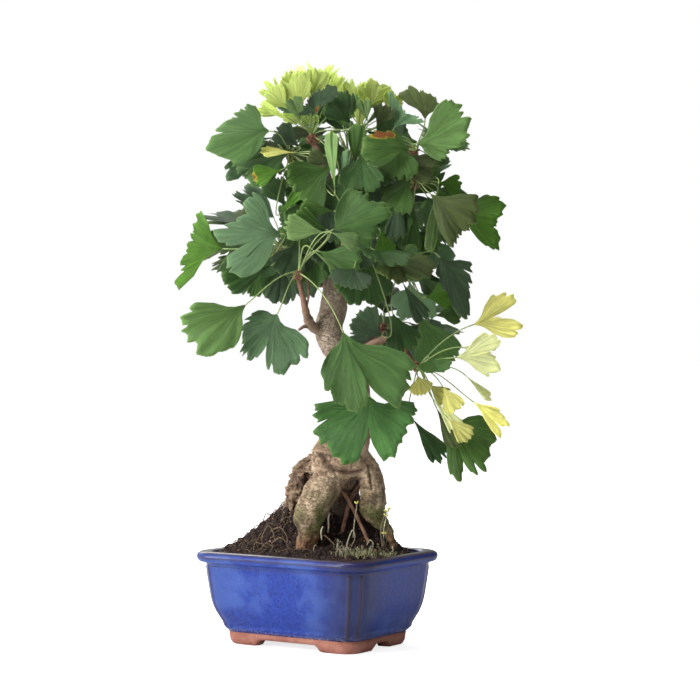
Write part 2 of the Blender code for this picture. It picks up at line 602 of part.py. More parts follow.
def coat(piece, name, colour, roughness, coat_weight=0.0):
    """A plain Principled material in the piece's own colour."""
    material = bpy.data.materials.new(name)
    material.use_nodes = True
    shader = material.node_tree.nodes["Principled BSDF"]
    shader.inputs["Base Color"].default_value = (*colour, 1.0)
    shader.inputs["Roughness"].default_value = roughness
    shader.inputs["Metallic"].default_value = 0.0
    shader.inputs["Coat Weight"].default_value = coat_weight
    piece.data.materials.clear()
    piece.data.materials.append(material)


def turn_to_pot(piece):
    """Turn a piece from the tree's front frame into the pot's frame, in its mesh."""
    piece.data.transform(Matrix.Rotation(TREE_TURN, 4, "Z"))


def apply_modifiers(piece):
    """Keep the piece's evaluated mesh and drop its modifiers."""
    shown = piece.evaluated_get(bpy.context.evaluated_depsgraph_get())
    mesh = bpy.data.meshes.new_from_object(shown)
    old = piece.data
    piece.modifiers.clear()
    piece.data = mesh
    bpy.data.meshes.remove(old)


def cut(piece, cutter):
    """Take a cutter's volume out of a piece."""
    step = piece.modifiers.new("cut by " + cutter.name, "BOOLEAN")
    step.operation = "DIFFERENCE"
    step.solver = "EXACT"
    step.object = cutter
    cutter.hide_render = True
    cutter.display_type = "WIRE"


def room_object(name, solid, cutters):
    """A swollen copy of a limb, kept only to cut room for it in its neighbours."""
    room = solid_object(name + "_room", solid, cutters)
    room.hide_render = True
    room.display_type = "WIRE"
    return room


def join_all(piece, pieces, cutters, solver):
    """Union the piece with a collection of others, apply it and remove them."""
    group = bpy.data.collections.new(piece.name + "_pieces")
    cutters.children.link(group)
    for other in pieces:
        group.objects.link(other)
    step = piece.modifiers.new("join", "BOOLEAN")
    step.operation = "UNION"
    step.solver = solver
    step.operand_type = "COLLECTION"
    step.collection = group
    apply_modifiers(piece)
    for other in pieces:
        bpy.data.objects.remove(other)
    bpy.data.collections.remove(group)


def drop_scraps(piece):
    """Keep the largest connected body of a joined mesh, in triangles, and count the rest."""
    shape = bmesh.new()
    shape.from_mesh(piece.data)
    unseen = set(shape.verts)
    bodies = []
    while unseen:
        stack = [unseen.pop()]
        body = set(stack)
        while stack:
            for edge in stack.pop().link_edges:
                for point in edge.verts:
                    if point in unseen:
                        unseen.remove(point)
                        body.add(point)
                        stack.append(point)
        bodies.append(body)
    bodies.sort(key=len)
    scraps = [point for body in bodies[:-1] for point in body]
    bmesh.ops.delete(shape, geom=scraps, context="VERTS")
    bmesh.ops.triangulate(shape, faces=shape.faces)
    shape.to_mesh(piece.data)
    shape.free()
    return len(bodies) - 1


def solid_object(name, solid, collection):
    """An object from a pair of points in millimetres and faces."""
    piece = bpy.data.objects.new(name, finish_mesh(name, *solid))
    collection.objects.link(piece)
    return piece


# ---------------------------------------------------------------- pot, foot ring and soil

def round_box(inset, z, corner, rib=0.0):
    """Points round the pot at one height, anticlockwise; rib lifts the corner ribs."""
    points = []
    half_x = RIM_HALF[0] - inset
    half_y = RIM_HALF[1] - inset
    for quarter in range(4):
        sign_x = 1 if quarter in (0, 3) else -1
        sign_y = 1 if quarter in (0, 1) else -1
        for step in range(CORNER_STEPS + 1):
            angle = math.radians(90 * (quarter + step / CORNER_STEPS))
            reach = corner + (rib if step in (2, 4) else 0.0)
            points.append(Vector((sign_x * (half_x - corner) + reach * math.cos(angle),
                                  sign_y * (half_y - corner) + reach * math.sin(angle), z)))
    return points


def corner_at(inset):
    """Corner radius of the pot's plan at an inset from the rim."""
    return max(RIM_CORNER - 0.3 * inset, 6.0)


def loft(rings):
    """Points and faces of a closed body through rings of equal count, with flat ends."""
    count = len(rings[0])
    points = [point for ring in rings for point in ring]
    faces = [tuple(range(count - 1, -1, -1))]
    for row in range(len(rings) - 1):
        for i in range(count):
            j = (i + 1) % count
            faces.append((row * count + i, row * count + j, (row + 1) * count + j, (row + 1) * count + i))
    last = len(points) - count
    faces.append(tuple(range(last, last + count)))
    return points, faces


def make_pot(collection):
    """The glazed vessel: up the inside, over the rolled rim and down the ribbed outside."""
    rings = [round_box(inset, z, corner_at(inset)) for inset, z in INNER_WALL]
    for inset, z in OUTER_WALL:
        rib = RIB_STAND if RIBS_BETWEEN[0] < z < RIBS_BETWEEN[1] else 0.0
        rings.append(round_box(inset, z, corner_at(inset), rib))
    return solid_object("pot", loft(rings), collection)


def make_arch(axis, reach, cutters):
    """A cutter right through the ring, with its two upper edges rounded."""
    bpy.ops.mesh.primitive_cube_add(size=1.0)
    arch = bpy.context.object
    arch.name = "arch_along_" + "xy"[axis]
    for owner in arch.users_collection:
        owner.objects.unlink(arch)
    cutters.objects.link(arch)
    size = [4 * RIM_HALF[0], 4 * RIM_HALF[0], 2 * ARCH_RISE]
    size[axis] = 2 * reach
    arch.data.transform(Matrix.Diagonal((*[s * MM for s in size], 1.0)))
    shape = bmesh.new()
    shape.from_mesh(arch.data)
    tops = [edge for edge in shape.edges
            if all(v.co.z > 0 for v in edge.verts)
            and abs(edge.verts[0].co[axis] - edge.verts[1].co[axis]) < 1e-6]
    bmesh.ops.bevel(shape, geom=tops, offset=ARCH_ROUND * MM, segments=4, affect="EDGES")
    shape.to_mesh(arch.data)
    shape.free()
    return arch


def make_foot_ring(collection, cutters):
    """The unglazed ring under the pot, arched between four corner feet."""
    rings = [round_box(FOOT_INNER, z, 8.0) for z in (0.0, FOOT_TOP)]
    rings += [round_box(inset, z, corner_at(inset)) for inset, z in FOOT_OUTER]
    points, faces = loft(rings + [rings[0]])
    count = len(rings[0])
    points = points[:-count]
    last = len(points)
    faces = [tuple(i - last if i >= last else i for i in face) for face in faces[1:-1]]
    ring = solid_object("foot_ring", (points, faces), collection)
    for axis, half in enumerate(RIM_HALF):
        reach = half - FOOT_OUTER[0][0] - FOOT_LENGTH
        cut(ring, make_arch(axis, reach, cutters))
    apply_modifiers(ring)
    drop_scraps(ring)
    return ring


def soil_height(point):
    """Height of the soil over the pot's plan: a low dome and a mound behind each front leg."""
    front = Matrix.Rotation(-TREE_TURN, 3, "Z") @ Vector((point.x, point.y, 0.0))
    dome_rise, dome_reach = CROWN_OF_SOIL
    height = SOIL_EDGE + dome_rise * math.exp(-front.length_squared / dome_reach ** 2)
    for rise, x, d, reach_x, reach_d in MOUNDS:
        away = ((front.x - x) / reach_x) ** 2 + ((front.y - d) / reach_d) ** 2
        height += rise * math.exp(-away)
    return height


def make_soil(collection):
    """The root ball: it fills the pot a hair clear of the wall, with its top heaped."""
    rings = []
    for inset, z in INNER_WALL[:-2]:
        rings.append(round_box(inset + SOIL_CLEAR, z + SOIL_CLEAR, corner_at(inset)))
    edge = round_box(SOIL_RINGS[0] + SOIL_CLEAR, 0.0, corner_at(SOIL_RINGS[0]))
    rings.append([Vector((p.x, p.y, INNER_WALL[-2][1])) for p in edge])
    for inset in SOIL_RINGS:
        ring = round_box(inset + SOIL_CLEAR, 0.0, corner_at(inset))
        rings.append([Vector((p.x, p.y, soil_height(p))) for p in ring])
    points, faces = loft(rings)
    faces.pop()
    last = len(points) - len(edge)
    points.append(Vector((0.0, 0.0, soil_height(Vector((0.0, 0.0, 0.0))))))
    for i in range(len(edge)):
        faces.append((last + i, last + (i + 1) % len(edge), len(points) - 1))
    return solid_object("soil", (points, faces), collection)


# ---------------------------------------------------------------- trunk, roots, boughs and masses

def soil_under(run):
    """The lowest soil height round the end of a leg, which is its flat cut."""
    centre, radius = run[-1]
    turn = Matrix.Rotation(TREE_TURN, 3, "Z")
    heights = []
    for side in range(8):
        angle = math.tau * side / 8
        out = Vector((math.cos(angle), math.sin(angle), 0.0)) * radius
        heights.append(soil_height(turn @ (centre + out)))
    return min(heights)


def leg_run(stations):
    """A leg or root that ends in a level cut, a hair above the floor of its seat in the soil."""
    run = smooth_run(stations)
    centre, radius = run[-1]
    foot = Vector((centre.x, centre.y, soil_under(run)))
    return [(p, r) for p, r in run[:-1] if p.z > foot.z + 3.0] + [(foot, radius)]


def level_foot(solid, sides, height):
    """Lay the last ring of a tube level at a height, as a flat cut."""
    points, faces = solid
    for i in range(len(points) - sides, len(points)):
        points[i].z = height
    return points, faces


def trunk_solids(grow):
    """The trunk's limb and its root legs, swollen by grow; legs reach down by the same."""
    solids = [tube(smooth_run(TRUNK_RUN), TRUNK_SIDES, grow)]
    for stations in LEG_RUNS.values():
        run = leg_run(stations)
        solids.append(level_foot(tube(run, LEG_SIDES, grow), LEG_SIDES, run[-1][0].z - grow))
    return solids


def joined(name, solids, collection, cutters, solver="EXACT"):
    """One object: the union of several closed solids."""
    first = solid_object(name, solids[0], collection)
    rest = [solid_object(f"{name}_{i}", s, cutters) for i, s in enumerate(solids[1:])]
    join_all(first, rest, cutters, solver)
    return first


def make_masses(stalks, collection, cutters):
    """One joined object for each mass, in the mean colour of its leaves."""
    made = []
    for name, (spur, leaves) in stalks.items():
        solids = [tube(stem_run(name), 6)]
        tint = Vector((0.0, 0.0, 0.0))
        for frame, start in leaves:
            points, blade_faces, stalk_faces = leaf_solid(frame, start)
            solids.append((points, blade_faces + stalk_faces))
            tint += Vector(TINTS[frame["tint"]]) / len(leaves)
        piece = joined("leaves_" + name, solids, collection, cutters, "MANIFOLD")
        scraps = drop_scraps(piece)
        turn_to_pot(piece)
        coat(piece, "leaves of " + name, tint, 0.5)
        made.append(piece)
        print(name, len(leaves), "leaves,", len(piece.data.polygons), "triangles,", scraps, "scraps")
    return made


def main():
    for old in list(bpy.data.objects):
        bpy.data.objects.remove(old)
    scene = bpy.context.scene
    tree = bpy.data.collections.new("ginkgo_bonsai")
    cutters = bpy.data.collections.new("cutters")
    scene.collection.children.link(tree)
    scene.collection.children.link(cutters)

    pot = make_pot(tree)
    coat(pot, "blue glaze", (0.03, 0.08, 0.36), 0.15, 1.0)
    ring = make_foot_ring(tree, cutters)
    coat(ring, "bare clay", (0.51, 0.17, 0.10), 0.8)
    soil = make_soil(tree)
    coat(soil, "dark soil", (0.03, 0.02, 0.015), 0.95)

    trunk = joined("trunk", trunk_solids(0.0), tree, cutters)
    drop_scraps(trunk)
    swollen = joined("trunk_room", trunk_solids(GAP), cutters, cutters)
    drop_scraps(swollen)
    seat = joined("trunk_seat", trunk_solids(SEAT_GAP), cutters, cutters)
    drop_scraps(seat)
    coat(trunk, "grey bark", (0.36, 0.27, 0.19), 0.8)

    woods = [trunk]
    rooms = {}
    for name, stations in CROSS_ROOTS.items():
        run = leg_run(stations)
        root = solid_object(name, level_foot(tube(run, 6), 6, run[-1][0].z), tree)
        rooms[name] = room_object(name, level_foot(tube(run, 6, GAP), 6, run[-1][0].z - GAP), cutters)
        coat(root, name + " bark", (0.20, 0.10, 0.06), 0.8)
        cut(root, swollen)
        woods.append(root)
    for name, mass in MASSES.items():
        if not mass["bough"]:
            continue
        bough = solid_object("bough_" + name, tube(bough_run(name), 6), tree)
        rooms[name] = room_object("bough_" + name, tube(bough_run(name), 6, GAP), cutters)
        coat(bough, "bark of " + bough.name, (0.22, 0.10, 0.07), 0.75)
        woods.append(bough)
    for name, mass in MASSES.items():
        if mass["bough"]:
            bough = bpy.data.objects["bough_" + name]
            cut(bough, rooms[mass["on"]] if mass.get("on") else swollen)
    for piece in woods[1:]:
        apply_modifiers(piece)
        drop_scraps(piece)
    for piece in woods + [swollen, seat] + list(rooms.values()):
        turn_to_pot(piece)
    cut(soil, seat)
    for name in CROSS_ROOTS:
        cut(soil, rooms[name])
    apply_modifiers(soil)
    drop_scraps(soil)

    stalks = grow_masses(wood_trees())
    pieces = [pot, ring, soil] + woods + make_masses(stalks, tree, cutters)

    low = Vector((1e9, 1e9, 1e9))
    high = -low
    for piece in pieces:
        for corner in piece.bound_box:
            low = Vector(map(min, low, corner))
            high = Vector(map(max, high, corner))
    stand = bpy.data.objects.new("stand", None)
    tree.objects.link(stand)
    stand.location = (-(low.x + high.x) / 2, -(low.y + high.y) / 2, -low.z)
    for piece in pieces:
        piece.parent = stand
    print("size in mm", [round(v / MM, 1) for v in high - low], "of", len(pieces), "pieces")
    print("pot's middle at", [round(v / MM, 2) for v in stand.location], "in mm")
    print("triangles", sum(len(p.data.polygons) for p in pieces))


if __name__ == "__main__":
    main()
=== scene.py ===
# %% [markdown]
# # A ginkgo bonsai in a blue glazed pot
# A small ginkgo stands on bare root legs in a shallow oblong pot. Its fan leaves grow in tufts
# from short spurs. The solid model of the plant is loaded first as a fixed frame. Everything
# below is made round it: same places and same sizes, with bark, veins, glaze and soil added.

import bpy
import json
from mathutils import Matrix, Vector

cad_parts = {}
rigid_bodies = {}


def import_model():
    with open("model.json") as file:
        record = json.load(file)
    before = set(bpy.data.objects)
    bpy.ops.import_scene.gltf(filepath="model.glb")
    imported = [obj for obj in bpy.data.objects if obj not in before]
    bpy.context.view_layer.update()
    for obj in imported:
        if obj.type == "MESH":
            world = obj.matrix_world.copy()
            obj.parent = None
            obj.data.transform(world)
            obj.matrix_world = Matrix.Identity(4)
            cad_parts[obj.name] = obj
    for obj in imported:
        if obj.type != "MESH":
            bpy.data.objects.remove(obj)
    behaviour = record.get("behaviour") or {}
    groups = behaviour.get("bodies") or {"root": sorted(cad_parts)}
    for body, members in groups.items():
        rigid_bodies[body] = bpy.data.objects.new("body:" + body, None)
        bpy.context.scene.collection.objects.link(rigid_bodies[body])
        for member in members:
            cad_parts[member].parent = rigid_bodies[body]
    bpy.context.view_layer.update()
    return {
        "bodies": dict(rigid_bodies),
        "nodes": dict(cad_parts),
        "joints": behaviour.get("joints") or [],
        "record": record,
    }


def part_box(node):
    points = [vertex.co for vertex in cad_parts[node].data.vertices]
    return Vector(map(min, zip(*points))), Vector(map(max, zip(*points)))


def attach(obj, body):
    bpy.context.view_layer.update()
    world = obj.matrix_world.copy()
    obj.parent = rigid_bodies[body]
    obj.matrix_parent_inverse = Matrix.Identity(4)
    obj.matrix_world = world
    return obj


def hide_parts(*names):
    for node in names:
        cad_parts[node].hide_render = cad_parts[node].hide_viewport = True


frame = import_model()

import json
import math
import random

import bmesh
import bpy
import numpy as np
from mathutils import Matrix, Vector, noise
from mathutils.bvhtree import BVHTree
from mathutils.kdtree import KDTree

print("nodes in the frame:", len(frame["nodes"]))

# %% [markdown]
# ## Where things are
# The tree was laid out in millimetres in a front frame: x to the right, d away from the front
# and z up. Its front is turned against the pot's long side. One function takes points from
# there to the row frame.

# %% From the front frame to the row frame
MM = 0.001
TREE_TURN = math.radians(33.5)
EYE_DISTANCE = 1600.0
EYE_X = 26.0
EYE_HEIGHT = 234.0
EVEN = (-1, 1)                   # a reach that is even to both sides

pot_low, pot_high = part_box("pot")
POT_MIDDLE = np.array(((pot_low.x + pot_high.x) / 2, (pot_low.y + pot_high.y) / 2, 0.0))


def turned(x, y, turn=TREE_TURN):
    return x * math.cos(turn) - y * math.sin(turn), x * math.sin(turn) + y * math.cos(turn)


def in_row(points, turn=TREE_TURN):
    """Millimetre points, turned about the pot's middle, as metres in the row frame."""
    x, y, z = np.array([tuple(p) for p in points], float).T
    return np.stack([*turned(x, y, turn), z], axis=1) * MM + POT_MIDDLE


def clamp(value, low=0.0, high=1.0):
    return min(high, max(low, value))


def bell(away, reach):
    """1 at no distance, about a third at the reach, and near 0 beyond it."""
    return math.exp(-(away / reach) ** 2)


def strewn(dice, *reaches):
    """A vector with a random value from each reach, drawn in their order."""
    return Vector([dice.uniform(*reach) for reach in reaches])


print("pot's middle in mm:", np.round(POT_MIDDLE / MM, 2))

# %% [markdown]
# ## Camera, light and floor
# The plant is seen level, from 1.6 metres away, with a long lens that keeps the pot's rim
# almost flat. It stands in a white sweep: one large soft light from the upper left models it,
# and the white room fills the shadows, more from the left than from the right.

# %% Camera, lights and floor
LENS = 102.9
SENSOR = 36.0
FLOOR_SIZE = 60.0
FLOOR_DROP = 0.0004
LIGHTS = {                       # place in the front frame (mm), aim height, size (m), watts
    "window_left": ((-1150.0, -850.0, 900.0), 240.0, 0.6, 24.0),
    "pane_near": ((-1250.0, -720.0, 200.0), 60.0, 0.22, 2.6),
    "pane_far": ((-1400.0, -380.0, 200.0), 60.0, 0.22, 2.6),
    "card_right": ((1300.0, -500.0, 500.0), 200.0, 1.2, 1.2),
    "rim_behind": ((-300.0, 1200.0, 900.0), 300.0, 0.8, 7.0),
    "top_sheet": ((-300.0, 0.0, 1600.0), 0.0, 0.7, 13.0),
}
ROOM_FILL = (0.1, 0.55)          # strength of the room from the right and from the left


def in_scene(name, data):
    made = bpy.data.objects.new(name, data)
    bpy.context.scene.collection.objects.link(made)
    return made


camera_data = bpy.data.cameras.new("camera")
camera_data.lens = LENS
camera_data.sensor_width = SENSOR
camera = in_scene("camera", camera_data)
camera.location = in_row([(EYE_X, -EYE_DISTANCE, EYE_HEIGHT)])[0]
camera.rotation_euler = (math.pi / 2, 0.0, TREE_TURN)
bpy.context.scene.camera = camera

for name, (place, aim_height, size, watts) in LIGHTS.items():
    lamp = bpy.data.lights.new(name, "AREA")
    lamp.size = size
    lamp.energy = watts
    light = in_scene(name, lamp)
    light.location = in_row([place])[0]
    aim = Vector(in_row([(0.0, 0.0, aim_height)])[0]) - light.location
    light.rotation_euler = aim.to_track_quat("-Z", "Y").to_euler()

bpy.context.scene.view_settings.view_transform = "Standard"

floor_mesh = bpy.data.meshes.new("floor")
half = FLOOR_SIZE / 2
floor_mesh.from_pydata([(x * half, y * half, -FLOOR_DROP) for x, y in
                        ((-1, -1), (1, -1), (1, 1), (-1, 1))], [], [(0, 1, 2, 3)])
floor = in_scene("floor", floor_mesh)
print("lights:", ", ".join(LIGHTS))

# %% [markdown]
# ## Shader arithmetic
# A finish is easier to read as a formula than as a web of nodes. `Wire` holds one socket of a
# material, and each operator on it adds a Math node. `Finish.node` adds any other node.

# %% Sockets that can be added and multiplied
class Wire:
    """One output socket of a finish, for use in expressions."""

    def __init__(self, finish, socket):
        self.finish = finish
        self.socket = socket

    def maths(self, operation, *others):
        values = dict(enumerate((self,) + others))
        return self.finish.node("Math", {"operation": operation}, values)

    def __add__(self, other):
        return self.maths("ADD", other)

    def __sub__(self, other):
        return self.maths("SUBTRACT", other)

    def __mul__(self, other):
        return self.maths("MULTIPLY", other)

    def __pow__(self, other):
        return self.maths("POWER", other)

    def __rsub__(self, other):
        return self * -1.0 + other

    __radd__ = __add__
    __rmul__ = __mul__

    def ramp(self, low, high):
        """0 below low, 1 above high, and smooth between them."""
        settings = {"interpolation_type": "SMOOTHSTEP"}
        return self.finish.node("MapRange", settings, {"Value": self, "From Min": low, "From Max": high})


MATT = {"Specular IOR Level": 0.3}


class Finish:
    """The nodes that feed one shader of a material, or of the room."""

    def __init__(self, owner, even=MATT, shader="Principled BSDF", place="Object"):
        self.material = owner if isinstance(owner, bpy.types.ID) else bpy.data.materials.new(owner)
        self.material.use_nodes = True
        self.tree = self.material.node_tree
        self.shader = self.tree.nodes[shader]
        for socket, value in even.items():
            self.shader.inputs[socket].default_value = value
        self.place = self.node("TexCoord", result=place)

    def node(self, kind, settings=None, values=None, result=0):
        """Any node: its settings first, then the values or wires of its sockets."""
        made = self.tree.nodes.new("ShaderNode" + kind)
        for key, value in (settings or {}).items():
            setattr(made, key, value)
        for key, value in (values or {}).items():
            socket = made.inputs[key]
            if isinstance(value, Wire):
                self.tree.links.new(value.socket, socket)
            elif socket.type == "RGBA":
                socket.default_value = (*value, 1.0)
            else:
                socket.default_value = value
        return Wire(self, made.outputs[result])

    def blend(self, share, first, second):
        """A colour between two colours."""
        return self.node("Mix", {"data_type": "RGBA"}, {0: share, 6: first, 7: second}, 2)

    def painted(self, tone, *layers):
        """A tone under layers, each a share and a colour."""
        for share, colour in layers:
            tone = self.blend(share, tone, colour)
        return tone

    def stretched(self, x, y, z):
        """Object places with each axis multiplied."""
        return self.node("Mapping", {}, {"Vector": self.place, "Scale": (x, y, z)})

    def clouds(self, scale, detail=2.0, rough=0.5, source=None):
        """Soft noise from 0 to 1."""
        values = {"Vector": source or self.place, "Scale": scale, "Detail": detail, "Roughness": rough}
        return self.node("TexNoise", {}, values)

    def dots(self, scale):
        """Distance to the nearest of many scattered points."""
        return self.node("TexVoronoi", {}, {"Vector": self.place, "Scale": scale}, "Distance")

    def reading(self, attribute):
        """A number stored on the mesh."""
        return self.node("Attribute", {"attribute_name": attribute}, result="Fac")

    def feed(self, socket, wire):
        self.tree.links.new(wire.socket, self.shader.inputs[socket])

    def relief(self, height, depth, strength=1.0):
        """Bump of a height from 0 to 1, over a depth in metres."""
        values = {"Height": height, "Distance": depth, "Strength": strength}
        self.feed("Normal", self.node("Bump", {}, values))

    def ready(self, tone, rough, *bump):
        """The finish with its colour, its roughness if that varies, and its bump."""
        self.feed("Base Color", tone)
        if rough:
            self.feed("Roughness", rough)
        self.relief(*bump)
        return self


bpy.context.scene.world = bpy.data.worlds.new("white_room")
room = Finish(bpy.context.scene.world, {"Color": (1.0, 1.0, 1.0, 1.0)}, "Background", "Generated")
to_left = (-math.cos(TREE_TURN), -math.sin(TREE_TURN), 0.25)
leftness = room.node("VectorMath", {"operation": "DOT_PRODUCT"}, {0: room.place, 1: to_left}, "Value")
fill = leftness * ((ROOM_FILL[1] - ROOM_FILL[0]) / 2) + (ROOM_FILL[0] + ROOM_FILL[1]) / 2
room.feed("Strength", fill.maths("MAXIMUM", room.node("LightPath", result="Is Camera Ray")))

FLOOR_GLOW = 0.78                # what the camera sees added, so that the floor is as white as the room
floor_finish = Finish("pale_floor", {"Roughness": 0.9, "Specular IOR Level": 0.0,
                                     "Emission Strength": FLOOR_GLOW})
seen_straight = floor_finish.node("LightPath", result="Is Camera Ray")
floor_finish.feed("Emission Color", floor_finish.blend(seen_straight, (0.0, 0.0, 0.0), (1.0, 1.0, 1.0)))
floor_tone = floor_finish.clouds(6.0)
floor_finish.feed("Base Color", floor_finish.blend(floor_tone, (0.85, 0.85, 0.85), (0.88, 0.88, 0.88)))
floor.data.materials.append(floor_finish.material)
print("finish ready:", floor_finish.material.name)

# %% [markdown]
# ## Meshes from arrays
# Most pieces are sheets of points in rows and columns, such as a blade, a tube or a pot wall.
# One helper lists the faces of a grid, and one makes the object, with numbers on its points.

# %% Grids, tubes and objects
def grid_faces(rows, columns, first=0, closed=False):
    """Four-sided faces between the rows of a grid; closed joins its last column to its first."""
    faces = []
    for r in range(rows - 1):
        for c in range(columns if closed else columns - 1):
            follow = (c + 1) % columns
            a = first + r * columns
            b = a + columns
            faces.append((a + c, a + follow, b + follow, b + c))
    return faces


def store(mesh, numbers):
    """Lists of numbers, stored on a mesh's points by name."""
    for key, values in numbers.items():
        layer = mesh.attributes.new(key, "FLOAT", "POINT")
        layer.data.foreach_set("value", np.asarray(values, np.float32))


def make_piece(name, points, faces, finish, numbers=None, uvs=None):
    """An object at the origin from row-frame points; numbers are stored on its points."""
    mesh = bpy.data.meshes.new(name)
    mesh.from_pydata(np.asarray(points).tolist(), [], faces)
    if uvs is not None:
        layer = mesh.uv_layers.new(name="blade")
        corners = np.zeros(len(mesh.loops), int)
        mesh.loops.foreach_get("vertex_index", corners)
        layer.data.foreach_set("uv", np.asarray(uvs, np.float32)[corners].ravel())
    store(mesh, numbers or {})
    mesh.shade_smooth()
    mesh.materials.append(finish.material)
    return in_scene(name, mesh)


def facing_out(piece):
    """Turn a closed piece's faces outwards."""
    shape = bmesh.new()
    shape.from_mesh(piece.data)
    bmesh.ops.recalc_face_normals(shape, faces=shape.faces)
    shape.to_mesh(piece.data)
    shape.free()
    return piece


def settle(piece, slot, *nodes):
    """The piece rides on the plant's only body and stands for CAD nodes; slot is not used."""
    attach(piece, "root")
    if nodes:
        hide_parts(*nodes)
    piece.data.update()
    print(piece.name, len(piece.data.polygons), "faces")


class Heap:
    """Points and faces gathered from many small shapes, for one joined mesh."""

    def __init__(self):
        self.points = []
        self.faces = []
        self.numbers = {}
        self.uvs = []
        self.count = 0

    def add(self, points, faces, uvs=None, **numbers):
        self.points.append(np.asarray(points, float))
        self.faces += [tuple(i + self.count for i in face) for face in faces]
        for key, value in numbers.items():
            self.numbers.setdefault(key, []).append(np.broadcast_to(value, len(points)))
        if uvs is not None:
            self.uvs.append(uvs)
        self.count += len(points)

    def made(self, name, finish, turn=TREE_TURN):
        """One object, its closed shapes facing out; turn is that of the frame the points are in."""
        points = in_row(np.concatenate(self.points), turn)
        numbers = {key: np.concatenate(values) for key, values in self.numbers.items()}
        uvs = np.concatenate(self.uvs) if self.uvs else None
        return facing_out(make_piece(name, points, self.faces, finish, numbers, uvs))


def stacked(rows):
    """Points and faces of rings stacked in rows, with a flat face over the first."""
    width = len(rows[0])
    faces = grid_faces(len(rows), width, closed=True)
    faces.append(tuple(range(width - 1, -1, -1)))
    return [point for ring in rows for point in ring], faces


def one_piece(name, finish, points, faces, **numbers):
    """One closed shape, from millimetre points round the pot's middle."""
    heap = Heap()
    heap.add(points, faces, **numbers)
    return heap.made(name, finish, 0.0)


def way_at(run, i):
    """Which way a limb goes at one of its knots."""
    return (run[min(i + 1, len(run) - 1)][0] - run[max(i - 1, 0)][0]).normalized()


def rings_along(run, sides, grow=0.0):
    """Rings of points round a limb's centres and radii; grow swells the limb all round."""
    rings = []
    across = None
    for i, (centre, radius) in enumerate(run):
        ahead = way_at(run, i)
        if across is None:
            across = Vector((0.0, -1.0, 0.0)) if abs(ahead.y) < 0.8 else Vector((1.0, 0.0, 0.0))
        across = (across - ahead * across.dot(ahead)).normalized()
        up = ahead.cross(across)
        shift = ahead * grow * ((i == len(run) - 1) - (i == 0))
        rings.append([])
        for side in range(sides):
            angle = math.tau * side / sides
            out = across * math.cos(angle) + up * math.sin(angle)
            rings[-1].append(centre + shift + out * (radius + grow))
    return rings


def fine_tube(run, sides):
    """A closed tube of quads along a run of centres and radii, with rounded ends."""
    run = list(run)
    points = [point for ring in rings_along(run, sides) for point in ring]
    faces = grid_faces(len(run), sides, closed=True)
    for end, near in ((0, 1), (len(run) - 1, len(run) - 2)):
        away = (run[end][0] - run[near][0]).normalized()
        points.append(run[end][0] + away * run[end][1] * 0.6)
        for side in range(sides):
            a = end * sides + side
            b = end * sides + (side + 1) % sides
            faces.append((a, b, len(points) - 1) if end else (b, a, len(points) - 1))
    return np.array([tuple(p) for p in points]), faces


print("helpers ready")

# %% [markdown]
# ## The limbs' plan
# Each limb is a handful of stations along its middle, with a radius at each. A smooth curve
# runs through them. `seen` moves a station that lies further away outwards, so that it lines up
# where it does from the front.

# %% Stations of trunk, root legs and crossing roots
SEED = 7
GAP = 0.3
# Wood: (x, d, z, radius) along each limb
TRUNK_RUN = ((15, 2, 127, 12), (16, 1, 137, 23), (19, 0, 149, 24), (24, 0, 167, 18),
             (29, 0, 192, 14), (25, 0, 220, 12.3), (12, 0, 240, 11.4), (9, 0, 253, 11),
             (13, 0, 268, 11), (15, 1, 300, 9.4), (14, 3, 330, 7.4), (13, 3, 352, 5.6),
             (8, 2, 370, 4.2), (2, 0, 388, 3.2), (-3, 0, 400, 2.6))
LEG_RUNS = {
    "left": ((14, -4, 146, 15), (9, -12, 131, 12.5), (3, -18, 120, 13), (-4, -20, 108, 12.6),
             (-7, -21, 98, 12), (-7, -22, 86, 9.6), (-11, -22, 77, 6.8), (-12, -22, 72, 6)),
    "right": ((32, -2, 146, 13), (41, -8, 134, 10), (44, -10, 120, 10.8), (44, -10, 108, 11.4),
              (48, -9, 99, 8.5), (55, -8, 91, 4.6), (60, -8, 80, 4.2), (61, -8, 74, 4.2)),
    # the back leg fills the dark gap between the front legs; below the arch it is painted almost black as
    # shade
    "back": ((20, 6, 144, 15), (20, 17, 128, 14.5), (20, 22, 110, 15), (20, 24, 92, 14)),
    "burl": ((4, 6, 142, 11), (-8, 10, 139, 9.5), (-14, 12, 128, 9), (-17, 12, 116, 9.5),
             (-19, 12, 104, 8)),
}
CROSS_ROOTS = {
    "cross_root_a": ((12, -5, 134, 1.7), (19, -7, 123, 1.7), (30, -9, 104, 1.6), (41, -12, 80, 1.5)),
    "cross_root_b": ((38, -2, 132, 1.9), (33, -2, 125, 1.9), (26, -2, 113, 1.8), (21, -3, 94, 1.7),
                     (18, -4, 80, 1.6)),
}

# %% [markdown]
# ## The leaves' plan
# A fan leaf is its stalk's end, the way it points, a length, a spread and the reach of its rim
# in a few places, which gives the lobes and the cleft. Leaves that show well are laid one by one.
# The rest of each tuft is left to a seeded rule.

